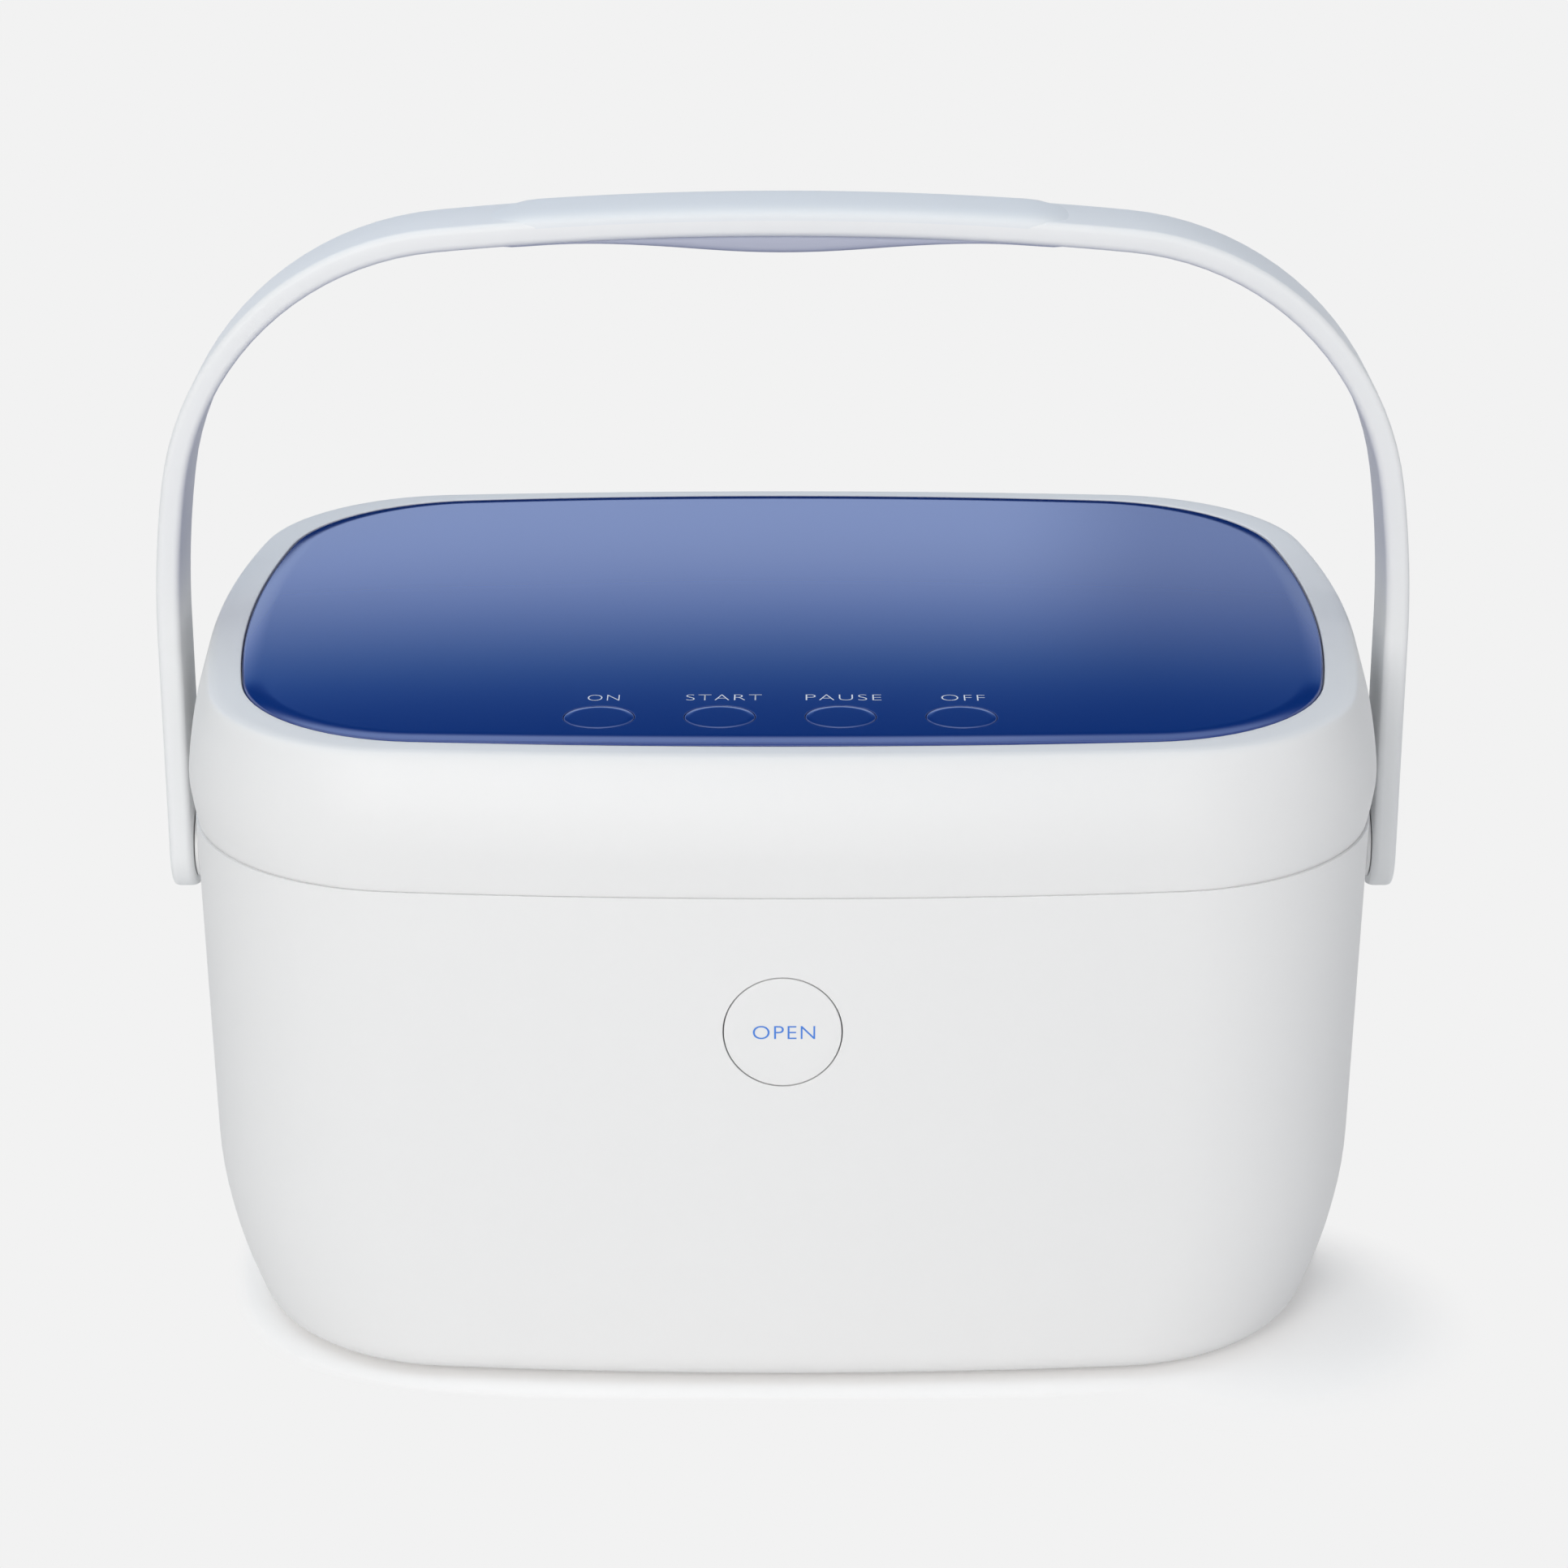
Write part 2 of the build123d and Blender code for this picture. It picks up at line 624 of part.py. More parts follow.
def open_button():
    """Release button: a cap flush with the front wall, a flange and a stem."""
    flange_y = open_wall_y() + PIECE_GAP
    cap = bar_y(OPEN_R, -HALF_DEPTH - BASE_WALL, flange_y + PIECE_GAP, 0, OPEN_Z) & base_outer()
    flange = bar_y(OPEN_R + OPEN_FLANGE, flange_y, flange_y + OPEN_FLANGE_THICK, 0, OPEN_Z)
    stem = bar_y(STEM_R, flange_y, latch_y() - PIECE_GAP, 0, OPEN_Z)
    return cap + flange + stem


def guide_face_y():
    """Front end of the button guide."""
    return open_wall_y() + PIECE_GAP


def guide_back_y():
    """Front face of the guide's back plate."""
    return guide_face_y() + GUIDE_DEPTH


def latch_y():
    """Front face of the latch plate."""
    return guide_back_y() + GUIDE_BACK + PIECE_GAP


def button_guide():
    """Cup behind the button, with pegs that the latch slides on."""
    outer_r = OPEN_R + OPEN_FLANGE + MOVING_GAP + GUIDE_WALL
    back = guide_back_y()
    guide = bar_y(outer_r, guide_face_y(), back + GUIDE_BACK, 0, OPEN_Z)
    guide -= bar_y(outer_r - GUIDE_WALL, guide_face_y(), back, 0, OPEN_Z)
    guide -= bar_y(STEM_R + PIN_GAP, back, back + GUIDE_BACK, 0, OPEN_Z)
    peg_end = latch_y() + LATCH_THICK + OPEN_TRAVEL
    for x in (-PEG_OFFSET, PEG_OFFSET):
        guide += bar_y(PEG_R, back, peg_end, x, OPEN_Z)
    return guide


def open_spring():
    """Space that the return spring takes round the stem."""
    low = guide_face_y() + OPEN_FLANGE_THICK
    high = guide_back_y()
    coil = bar_y(SPRING_R + SPRING_WIRE / 2, low, high, 0, OPEN_Z)
    return coil - bar_y(SPRING_R - SPRING_WIRE / 2, low, high, 0, OPEN_Z)


def latch_slider():
    """Sliding latch plate whose nose points at the lid's strike."""
    y = latch_y()
    low = OPEN_Z - OPEN_R + STEM_R
    high = FLANGE_Z - PIECE_GAP
    plate = block(LATCH_WIDTH, LATCH_THICK, low, high, 0, y + LATCH_THICK / 2)
    plate = fillet(plate.edges().filter_by(Axis.Y), STEM_R / 2)
    nose = block(STRIKE_WIDTH, LATCH_REACH, high - LATCH_NOSE, high, 0, y - LATCH_REACH / 2)
    plate += nose
    for x in (-PEG_OFFSET, PEG_OFFSET):
        plate -= bar_y(PEG_R + PIN_GAP, y, y + LATCH_THICK, x, OPEN_Z)
    return plate


def lid_strike():
    """Barbed tongue that hangs from the lid's liner."""
    barb_tip = latch_y() - LATCH_REACH - PIECE_GAP
    back = barb_tip - STRIKE_BARB
    low = LID_Z - STRIKE_DROP
    tongue = block(STRIKE_WIDTH, STRIKE_THICK, low, LID_Z, 0, back - STRIKE_THICK / 2)
    barb = block(STRIKE_WIDTH, STRIKE_BARB, low, low + STRIKE_BARB, 0, back + STRIKE_BARB / 2)
    return tongue + barb


# Lid


def lid_sections():
    """Half width, half depth, corner radius, height and bows of the lid, from the parting line up."""
    band_w = PANEL_HALF_WIDTH + RIM_SIDE
    band_d = PANEL_HALF_DEPTH + RIM_FRONT
    band_r = CORNER_R - RIM_CORNER_INSET
    band_z = PANEL_Z + RIM_RISE - RIM_FALL
    wide_w = HALF_WIDTH + LID_BULGE
    wide_d = HALF_DEPTH + LID_BULGE
    wide_r = CORNER_R + LID_BULGE
    lip = PIECE_GAP + MOVING_GAP
    middle = (LID_BULGE - LID_EDGE) / 2
    sections = [
        (HALF_WIDTH - LID_EDGE, HALF_DEPTH - LID_EDGE, CORNER_R, LID_Z, BODY_BOWS),
        (HALF_WIDTH + middle, HALF_DEPTH + middle, CORNER_R, (LID_Z + LID_BULGE_Z) / 2, BODY_BOWS),
        (wide_w, wide_d, wide_r, LID_BULGE_Z, BODY_BOWS),
    ]
    for up, side, front in zip(SHOULDER_HEIGHTS, SHOULDER_SIDES, SHOULDER_FRONTS):
        bows = [mixed(body, panel, up) for body, panel in zip(BODY_BOWS, PANEL_BOWS)]
        sections.append((mixed(wide_w, band_w, side), mixed(wide_d, band_d, front), mixed(wide_r, band_r, side),
                         mixed(LID_BULGE_Z, band_z, up), bows))
    sections.append((band_w, band_d, band_r, band_z, PANEL_BOWS))
    sections.append((PANEL_HALF_WIDTH + lip, PANEL_HALF_DEPTH + lip, PANEL_CORNER_R + lip, PANEL_Z + RIM_RISE,
                     PANEL_BOWS))
    return sections


def lid_outer():
    """Outside of the lid, lofted through its sections."""
    return loft([bowed_face(*section) for section in lid_sections()])


def lid_inner():
    """Hollow of the lid under the panel's ledge."""
    top = LEDGE_Z - PANEL_LEDGE_THICK
    faces = []
    for w, d, r, z, bows in lid_sections():
        if z < top - LID_WALL:
            faces.append(bowed_face(w - LID_WALL, d - LID_WALL, r - LID_WALL, z, bows))
    inset = LID_WALL / 2
    faces.append(bowed_face(PANEL_HALF_WIDTH + RIM_SIDE - inset, PANEL_HALF_DEPTH + RIM_FRONT - inset,
                            CORNER_R - RIM_CORNER_INSET - inset, top, PANEL_BOWS))
    return loft(faces)


def liner_screw_places():
    """Centres of the bosses in the lid's corners."""
    cx, cy = bowed_edges(PANEL_HALF_WIDTH, PANEL_HALF_DEPTH, PANEL_CORNER_R, PANEL_BOWS)[:2]
    reach = (PANEL_CORNER_R - PANEL_LEDGE) * math.sqrt(0.5)
    return four_corners(cx + reach, abs(cy) + reach)


def lid_shell():
    """Lid frame with the panel's seat, corner bosses and hinge knuckles."""
    inner = lid_inner()
    shell = lid_outer() - inner
    seat = PIECE_GAP
    shell -= bowed_prism(PANEL_HALF_WIDTH + seat, PANEL_HALF_DEPTH + seat, PANEL_CORNER_R + seat, LEDGE_Z,
                         PANEL_Z + PANEL_THICK, PANEL_BOWS)
    shell -= bowed_prism(PANEL_HALF_WIDTH - PANEL_LEDGE, PANEL_HALF_DEPTH - PANEL_LEDGE,
                         PANEL_CORNER_R - PANEL_LEDGE, LEDGE_Z - PANEL_LEDGE_THICK - OVERCUT, LEDGE_Z, PANEL_BOWS)
    for x, y in liner_screw_places():
        boss = post(BOSS_R, LID_Z + LINER_THICK, LEDGE_Z, x, y)
        shell += boss - post(SCREW_R, LID_Z, LID_Z + 3 * BOSS_R, x, y)
    arm_low = HINGE_OFFSET_X - KNUCKLE_LENGTH / 2
    arm = knuckle("lid", arm_low, arm_low + KNUCKLE_LENGTH) - inner
    for part in mirrored(arm):
        shell += part
    for low, high in base_knuckle_spans():
        gap = bar_x(HINGE_BARREL_R + MOVING_GAP, low - PIECE_GAP, high + PIECE_GAP, HINGE_Y, HINGE_Z)
        for part in mirrored(gap):
            shell -= part
    bore = bar_x(HINGE_PIN_R + PIN_GAP, arm_low - OVERCUT, arm_low + KNUCKLE_LENGTH + OVERCUT, HINGE_Y, HINGE_Z)
    for part in mirrored(bore):
        shell -= part
    return shell


def panel_dome():
    """Very large ball whose top gives the panel its slight crown."""
    radius = PANEL_HALF_WIDTH ** 2 / (2 * PANEL_CROWN)
    return Pos(0, 0, PANEL_Z + PANEL_CROWN - radius) * Sphere(radius)


def crown_cut(solid):
    """The solid trimmed to the crowned upper surface."""
    return solid & panel_dome()


def control_board_low():
    """Underside of the button board."""
    plunger = LEDGE_Z - PIECE_GAP - BUTTON_FLANGE_THICK - PLUNGER_LENGTH
    return plunger - BUTTON_TRAVEL - PIECE_GAP - DOME_HEIGHT - MAT_THICK - BOARD_THICK


def board_width():
    """Width of the button board."""
    return 3 * BUTTON_PITCH + 2 * BOARD_MARGIN


def lid_panel():
    """Crowned blue top panel with four button holes and bosses for the button board."""
    panel = crown_cut(bowed_prism(PANEL_HALF_WIDTH, PANEL_HALF_DEPTH, PANEL_CORNER_R, LEDGE_Z,
                                  PANEL_Z + 2 * PANEL_CROWN, PANEL_BOWS))
    for x in BUTTON_XS:
        panel -= post(BUTTON_R + PIECE_GAP, LEDGE_Z - OVERCUT, PANEL_Z + PANEL_THICK, x, BUTTON_Y)
    board_top = control_board_low() + BOARD_THICK
    for x in (-board_width() / 2 + POST_R, board_width() / 2 - POST_R):
        panel += post(POST_R, board_top, LEDGE_Z, x, BUTTON_Y)
    return panel


def lid_button(x):
    """Push button with a retaining flange and a plunger."""
    top = PANEL_Z + 2 * PANEL_CROWN
    flange_top = LEDGE_Z - PIECE_GAP
    button = crown_cut(post(BUTTON_R, flange_top, top, x, BUTTON_Y))
    button += post(BUTTON_R + BUTTON_FLANGE, flange_top - BUTTON_FLANGE_THICK, flange_top, x, BUTTON_Y)
    low = flange_top - BUTTON_FLANGE_THICK
    return button + post(PLUNGER_R, low - PLUNGER_LENGTH, low, x, BUTTON_Y)


def switch_mat():
    """Rubber mat with a dome under each button."""
    low = control_board_low() + BOARD_THICK
    width = board_width() - 4 * POST_R - 2 * MOVING_GAP
    mat = block(width, BOARD_DEPTH - 2 * POST_R, low, low + MAT_THICK, 0, BUTTON_Y)
    for x in BUTTON_XS:
        base = low + MAT_THICK
        dome = Pos(x, BUTTON_Y, base + DOME_HEIGHT / 2) * Cone(DOME_R, PLUNGER_R, DOME_HEIGHT)
        mat += dome
    return mat


def control_board():
    """Board under the lid's buttons."""
    low = control_board_low()
    board = block(board_width(), BOARD_DEPTH, low, low + BOARD_THICK, 0, BUTTON_Y)
    return fillet(board.edges().filter_by(Axis.Z), POST_R)


def lid_liner():
    """Underside plate of the lid with a lamp window, posts and a strengthening lip."""
    reach = LID_WALL + PIECE_GAP + LID_EDGE
    width, depth, radius = HALF_WIDTH - reach, HALF_DEPTH - reach, CORNER_R - reach
    high = LID_Z + LINER_THICK
    liner = bowed_prism(width, depth, radius, LID_Z, high)
    lip = 2 * LINER_THICK
    liner += (bowed_prism(width, depth, radius, high, high + lip)
              - bowed_prism(width - LINER_THICK, depth - LINER_THICK, radius - LINER_THICK, high, high + lip))
    liner -= block(WINDOW_LENGTH, WINDOW_DEPTH, LID_Z, high)
    for x in lamp_post_xs():
        liner += post(POST_R, high, high + WINDOW_THICK + LAMP_GAP + LED_HEIGHT, x, 0)
    for x, y in liner_screw_places():
        liner -= post(SCREW_R, LID_Z, high, x, y)
        liner -= post(SCREW_HEAD_R, LID_Z, LID_Z + SCREW_HEAD, x, y)
    return liner


def liner_screws():
    """Screws that hold the lid's liner."""
    return [post(SCREW_HEAD_R, LID_Z, LID_Z + SCREW_HEAD, x, y)
            + post(SCREW_R, LID_Z, LID_Z + 2 * BOSS_R, x, y) for x, y in liner_screw_places()]


# Handle


def arch_face(inset):
    """Area under the arch, drawn in from the handle's outer curve by inset."""
    half_w = HANDLE_HALF_WIDTH - inset
    rise = HANDLE_TOP_Z - inset - HANDLE_SIDE_Z
    bows = (HANDLE_CROWN_R - inset, HANDLE_SIDE_R - inset)
    cx, cy, crown, side = bowed_edges(half_w, rise, HANDLE_SHOULDER_R - inset, bows)
    r = HANDLE_SHOULDER_R - inset
    mid = (crown + side) / 2
    tx, tz = cx + r * math.cos(crown), HANDLE_SIDE_Z - (cy + r * math.sin(crown))
    mx, mz = cx + r * math.cos(mid), HANDLE_SIDE_Z - (cy + r * math.sin(mid))
    sx, sz = cx + r * math.cos(side), HANDLE_SIDE_Z - (cy + r * math.sin(side))
    qx = half_w - HANDLE_SIDE_R + inset + (HANDLE_SIDE_R - inset) * math.cos(side / 2)
    qz = HANDLE_SIDE_Z - (HANDLE_SIDE_R - inset) * math.sin(side / 2)
    low = PIVOT_Z - STRAP_WIDTH / 2 - inset
    edges = [
        ThreePointArc((-tx, tz), (0, HANDLE_TOP_Z - inset), (tx, tz)),
        ThreePointArc((tx, tz), (mx, mz), (sx, sz)),
        ThreePointArc((sx, sz), (qx, qz), (half_w, HANDLE_SIDE_Z)),
        Line((half_w, HANDLE_SIDE_Z), (half_w, low)),
        Line((half_w, low), (-half_w, low)),
        Line((-half_w, low), (-half_w, HANDLE_SIDE_Z)),
        ThreePointArc((-half_w, HANDLE_SIDE_Z), (-qx, qz), (-sx, sz)),
        ThreePointArc((-sx, sz), (-mx, mz), (-tx, tz)),
    ]
    return Face(Wire(edges))


def across(face, width):
    """Upright face in the XZ plane thickened evenly to both sides."""
    placed = Plane.XZ * face
    return extrude(placed, width / 2, both=True)


def handle_bail():
    """Carry handle: a bowed strap with round ends on its two pivots."""
    strap = across(arch_face(0), STRAP_WIDTH) - across(arch_face(STRAP_THICK), 2 * STRAP_WIDTH)
    side = Pos(0, (HANDLE_TOP_Z + PIVOT_Z) / 2) * Rectangle(STRAP_WIDTH, HANDLE_TOP_Z - PIVOT_Z)
    side += Pos(0, PIVOT_Z) * Circle(STRAP_WIDTH / 2)
    strap = strap & extrude(Plane.YZ * side, HANDLE_HALF_WIDTH, both=True)
    lengthwise = strap.edges().filter_by(lambda e: abs(e.center().Y) > STRAP_WIDTH / 2 - PIECE_GAP)
    strap = fillet(lengthwise, STRAP_EDGE_R)
    leg = HANDLE_HALF_WIDTH - STRAP_THICK
    for part in mirrored(bar_x(PIVOT_PIN_R + PIN_GAP, leg - OVERCUT, leg + PIVOT_PIN_DEPTH, 0, PIVOT_Z)):
        strap -= part
    return strap


def crown_band(low, high, length):
    """Strip along the crown between two offsets from the handle's outer curve."""
    band = arch_face(-high) - arch_face(-low)
    cut = Pos(0, HANDLE_TOP_Z) * Rectangle(length, 8 * STRAP_THICK)
    return band & cut


def grip_pad():
    """Soft pad that stands proud of the strap's crown."""
    pad = across(crown_band(0, PAD_RISE, GRIP_LENGTH), PAD_WIDTH)
    pad = fillet(pad.edges().filter_by(Axis.Z), PAD_WIDTH / 3)
    return fillet(pad.faces().sort_by(Axis.Z)[-1].edges(), GRIP_EDGE_R)


def grip_insert():
    """Underside insert with a belly for the fingers."""
    top = HANDLE_TOP_Z - STRAP_THICK
    half = GRIP_LENGTH / 2
    drop = HANDLE_CROWN_R - math.sqrt(HANDLE_CROWN_R ** 2 - half ** 2)
    end = top - drop - INSERT_THICK
    belly = ThreePointArc((-half, end), (0, top - INSERT_THICK - BELLY_DEPTH), (half, end))
    upper = top + OVERCUT
    outline = Face(Wire([belly, Line((half, end), (half, upper)), Line((half, upper), (-half, upper)),
                         Line((-half, upper), (-half, end))]))
    insert = across(outline & arch_face(STRAP_THICK), INSERT_WIDTH)
    insert = fillet(insert.edges().filter_by(Axis.Z), INSERT_WIDTH / 3)
    return fillet(insert.faces().sort_by(Axis.Z)[0].edges(), GRIP_EDGE_R)


def solids_of(shape):
    """All separate solids of a piece or a group of pieces."""
    if isinstance(shape, (list, tuple)):
        return [s for item in shape for s in item.solids()]
    return list(shape.solids())


def save(name, shape):
    """Write one sub-part to its own file."""
    group = solids_of(shape)
    out = group[0] if len(group) == 1 else Compound(children=group)
    export_step(out, os.path.join("parts", name + ".step"))


def build():
    """Every sub-part by name."""
    parts = {
        "base_shell": base_shell(),
        "bottom_cover": bottom_cover(),
        "bottom_screws": bottom_screws(),
        "rubber_feet": rubber_feet(),
        "inner_tub": inner_tub(),
        "rim_gasket": rim_gasket(),
        "wire_rack": wire_rack(),
        "base_lamp_window": lamp_window(TUB_FLOOR_Z - TUB_WALL - WINDOW_THICK),
        "base_lamp_board": lamp_board(base_lamp_face(), 1),
        "battery_pack": battery_pack(),
        "main_board": main_board(),
        "dc_socket": dc_socket(),
        "hinge_pins": hinge_pins(),
        "pivot_pins": pivot_pins(),
        "pivot_washers": pivot_washers(),
        "button_guide": button_guide(),
        "open_button": open_button(),
        "open_spring": open_spring(),
        "latch_slider": latch_slider(),
        "lid_shell": lid_shell(),
        "lid_panel": lid_panel(),
        "lid_liner": lid_liner(),
        "liner_screws": liner_screws(),
        "lid_strike": lid_strike(),
        "lid_lamp_window": lamp_window(LID_Z + LINER_THICK),
        "lid_lamp_board": lamp_board(LID_Z + LINER_THICK + WINDOW_THICK + LAMP_GAP + LED_HEIGHT, -1),
        "control_board": control_board(),
        "switch_mat": switch_mat(),
        "handle_bail": handle_bail(),
        "grip_pad": grip_pad(),
        "grip_insert": grip_insert(),
    }
    for name, x in zip(BUTTON_NAMES, BUTTON_XS):
        parts["button_" + name] = lid_button(x)
    return parts


os.makedirs("parts", exist_ok=True)
for node, shape in build().items():
    save(node, shape)
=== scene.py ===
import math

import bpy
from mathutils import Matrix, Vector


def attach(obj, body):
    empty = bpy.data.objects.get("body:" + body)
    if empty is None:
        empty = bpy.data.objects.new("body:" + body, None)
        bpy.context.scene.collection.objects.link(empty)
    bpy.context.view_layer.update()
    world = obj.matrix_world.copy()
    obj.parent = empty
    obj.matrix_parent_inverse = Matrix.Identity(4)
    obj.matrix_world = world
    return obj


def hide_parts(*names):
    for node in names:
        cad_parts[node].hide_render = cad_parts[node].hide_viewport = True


bl_info = {
    "name": "Sanitizer Box",
    "version": (1, 0, 0),
    "blender": (4, 5, 0),
    "location": "3D View > Sidebar > Sanitizer",
    "description": "Shells, handle, buttons, finishes and studio of a sanitizer box",
    "category": "Object",
}

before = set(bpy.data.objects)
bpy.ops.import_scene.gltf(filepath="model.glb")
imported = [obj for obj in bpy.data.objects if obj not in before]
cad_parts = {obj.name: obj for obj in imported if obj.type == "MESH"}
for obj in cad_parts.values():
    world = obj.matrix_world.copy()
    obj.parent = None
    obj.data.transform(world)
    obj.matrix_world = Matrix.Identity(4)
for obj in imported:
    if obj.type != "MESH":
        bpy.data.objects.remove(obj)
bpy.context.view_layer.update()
MM = 0.001
FULL_TURN = 2 * math.pi
QUARTER_TURN = math.pi / 2


def length(name, millimetres, description):
    """A size that a user can change, stored in metres."""
    return bpy.props.FloatProperty(name=name, description=description, default=millimetres * MM,
                                   unit="LENGTH", precision=5)


def factor(name, value, description):
    """A plain number that a user can change."""
    return bpy.props.FloatProperty(name=name, description=description, default=value, precision=3)


def lean(name, degrees, description):
    """An angle that a user can change, stored in radians."""
    return bpy.props.FloatProperty(name=name, description=description,
                                   default=math.radians(degrees), subtype="ANGLE")


def colour(name, hexadecimal, description):
    """A colour that a user can change, stored as linear values."""
    return bpy.props.FloatVectorProperty(name=name, description=description,
                                         default=linear(hexadecimal), size=4, subtype="COLOR",
                                         min=0.0, max=1.0)


def linear(hexadecimal):
    """Linear colour of an sRGB hex value."""
    values = [int(hexadecimal[i:i + 2], 16) / 255 for i in (1, 3, 5)]
    return [v / 12.92 if v <= 0.04045 else ((v + 0.055) / 1.055) ** 2.4 for v in values] + [1.0]


class ShellSizes(bpy.types.PropertyGroup):
    """Sizes of the base and the lid."""

    half_width: length("Half width", 147.0, "Half the base's width at the parting line")
    half_depth: length("Half depth", 111.0, "Half the base's depth at the parting line")
    corner: length("Corner radius", 56.0, "Corner radius in plan")
    front_bow: length("Front bow", 1000.0, "Radius of the bowed front and back")
    side_bow: length("Side bow", 480.0, "Radius of the bowed sides")
    foot: length("Foot height", 1.1, "Height of the underside above the table")
    parting: length("Parting height", 130.0, "Height of the base's rim")
    gap: length("Parting gap", 0.4, "Gap between the base and the lid")
    edge: length("Bottom edge", 7.5, "Radius of the bottom edge")
    curve: length("Side curve", 10.5, "How far the sides curve in towards the bottom")
    curve_height: length("Curve height", 48.0, "Height where the sides start to curve in")
    wall: length("Wall", 2.5, "Wall thickness")
    bulge: length("Lid bulge", 1.1, "How much wider than the base the lid is")
    bulge_height: length("Bulge height", 142.5, "Height of the lid's widest place")
    lid_edge: length("Lid edge", 0.6,
                     "How far the lid's lower edge is drawn in from the base's rim")
    hinge_out: length("Hinge place", 1.8, "Distance of the hinge line behind the base")
    barrel: length("Hinge barrel", 3.6, "Radius of the hinge's barrels")
    hinge_x: length("Hinge offset", 78.0, "Distance of a hinge from the middle")
    knuckle: length("Knuckle length", 12.0, "Length of a hinge knuckle")
    socket_z: length("Inlet height", 36.0, "Height of the charging inlet")
    socket: length("Inlet radius", 5.3, "Radius of the hole round the charging inlet")
    taper: lean("Taper", 1.2, "Slope of the base's wall")


class PanelSizes(bpy.types.PropertyGroup):
    """Sizes of the top panel, its rim and its buttons."""

    half_width: length("Half width", 135.0, "Half the panel's width")
    half_depth: length("Half depth", 99.0, "Half the panel's depth")
    corner: length("Corner radius", 48.0, "Corner radius in plan")
    front_bow: length("Front bow", 1240.0, "Radius of the bowed front and back")
    side_bow: length("Side bow", 366.0, "Radius of the bowed sides")
    height: length("Height", 164.3, "Height of the panel's edge")
    thick: length("Thickness", 3.0, "Thickness of the panel")
    crown: length("Crown", 1.0, "How much the middle of the panel stands above its edge")
    seat_gap: length("Seat gap", 0.3, "Gap round the panel")
    ledge: length("Ledge", 5.0, "Width of the ledge under the panel")
    rim_drop: length("Rim drop", 0.4, "How much the rim lies below the panel's edge")
    rim_front: length("Rim at the front", 6.2, "Width of the sloping band at the front and back")
    rim_side: length("Rim at the sides", 8.9, "Width of the sloping band at the sides")
    rim_corner: length("Rim corner", 51.0, "Corner radius of the sloping band's outer edge")
    rim_fall: length("Rim fall", 2.2, "How far the band slopes down")
    edge: length("Panel edge", 0.7, "Rounding of the panel's edge")
    pillow: length("Pillow width", 5.5, "Width of the soft run-out inside the panel's edge")
    pillow_drop: length("Pillow drop", 0.34, "How far the soft run-out falls")
    button: length("Button radius", 8.36, "Radius of a push button from side to side")
    button_ratio: factor("Button ratio", 0.9,
                         "Front-to-back size of a push button over its width")
    pitch: length("Button pitch", 28.55, "Distance between the push buttons")
    shift: length("Button shift", -0.6, "How far the row of buttons lies off the middle")
    button_y: length("Button place", -82.0, "Place of the row of push buttons")


class ReleaseSizes(bpy.types.PropertyGroup):
    """Sizes of the release button."""

    radius: length("Radius", 13.9, "Radius of the release button")
    gap: length("Gap", 0.4, "Gap round the release button")
    height: length("Height", 96.0, "Height of the release button's centre")


class HandleSizes(bpy.types.PropertyGroup):
    """Sizes of the carry handle."""

    half_width: length("Half width", 158.0, "Half the handle's outer width")
    top: length("Top", 269.4, "Height of the strap's crown")
    crown: length("Crown radius", 900.0, "Radius of the crown")
    shoulder: length("Shoulder radius", 77.5, "Radius of the shoulders")
    side: length("Side radius", 260.0, "Radius of the sides")
    side_height: length("Side height", 160.0, "Height where the legs turn straight")
    width: length("Strap width", 23.5, "Width of the strap")
    thick: length("Strap thickness", 6.0, "Thickness of the strap")
    round: length("Edge rounding", 1.8, "Rounding of the strap's edges")
    pivot: length("Pivot height", 101.0, "Height of the handle's pivots")
    boss: length("Pivot boss", 9.5, "Radius of the pivot bosses")
    boss_face: length("Pivot boss face", 150.9, "Distance of the boss's face from the middle")
    grip: length("Grip length", 144.5, "Length of the grip")
    pad_rise: length("Pad rise", 1.4, "How far the grip pad stands proud")
    insert_width: length("Insert width", 19.0, "Width of the underside insert")
    insert_thick: length("Insert thickness", 0.5, "Thickness of the insert at its ends")
    belly: length("Belly", 3.9, "Depth of the insert's belly")


class Finishes(bpy.types.PropertyGroup):
    """Colours of the finishes."""

    shell: colour("Shell", "#E6E6E6", "White moulded plastic")
    handle: colour("Handle", "#E8E9EA", "White plastic of the handle")
    panel: colour("Panel", "#07337F", "Blue gloss panel")
    white_ink: colour("White ink", "#E9EEF6", "Printed words on the panel")
    blue_ink: colour("Blue ink", "#3B7DD8", "Printed word on the release button")
    grip: colour("Grip", "#E3E6E9", "Soft grip pad")
    # The insert's own bluish grey is darkened here as painted shade for the shade that falls under
    # the grip
    insert: colour("Insert", "#AEB2C4", "Underside insert of the grip")
    rubber: colour("Rubber", "#8C9094", "Feet, seal and mat")
    liner: colour("Liner", "#D9DBDD", "Polished metal liner")
    steel: colour("Steel", "#B9BBBE", "Steel wire and pins")
    floor: colour("Floor", "#F2F2F2", "Studio floor")


SIZE_GROUPS = {
    "shell_sizes": ShellSizes,
    "panel_sizes": PanelSizes,
    "release_sizes": ReleaseSizes,
    "handle_sizes": HandleSizes,
    "finishes": Finishes,
}


def sizes(group):
    """One of the scene's groups of sizes."""
    return getattr(bpy.context.scene, group)


def finish_colour(name):
    """One of the finish colours."""
    return list(getattr(sizes("finishes"), name))


# Outlines

ARC_STEPS = (14, 16, 12)  # steps along a quarter of a plan: its bowed front, its corner, its side
MIN_CORNER = 2 * MM  # smallest corner radius in plan


def evenly(start, end, steps):
    """Numbers from start to end, both included, an even step apart."""
    return [start + (end - start) * i / steps for i in range(steps + 1)]


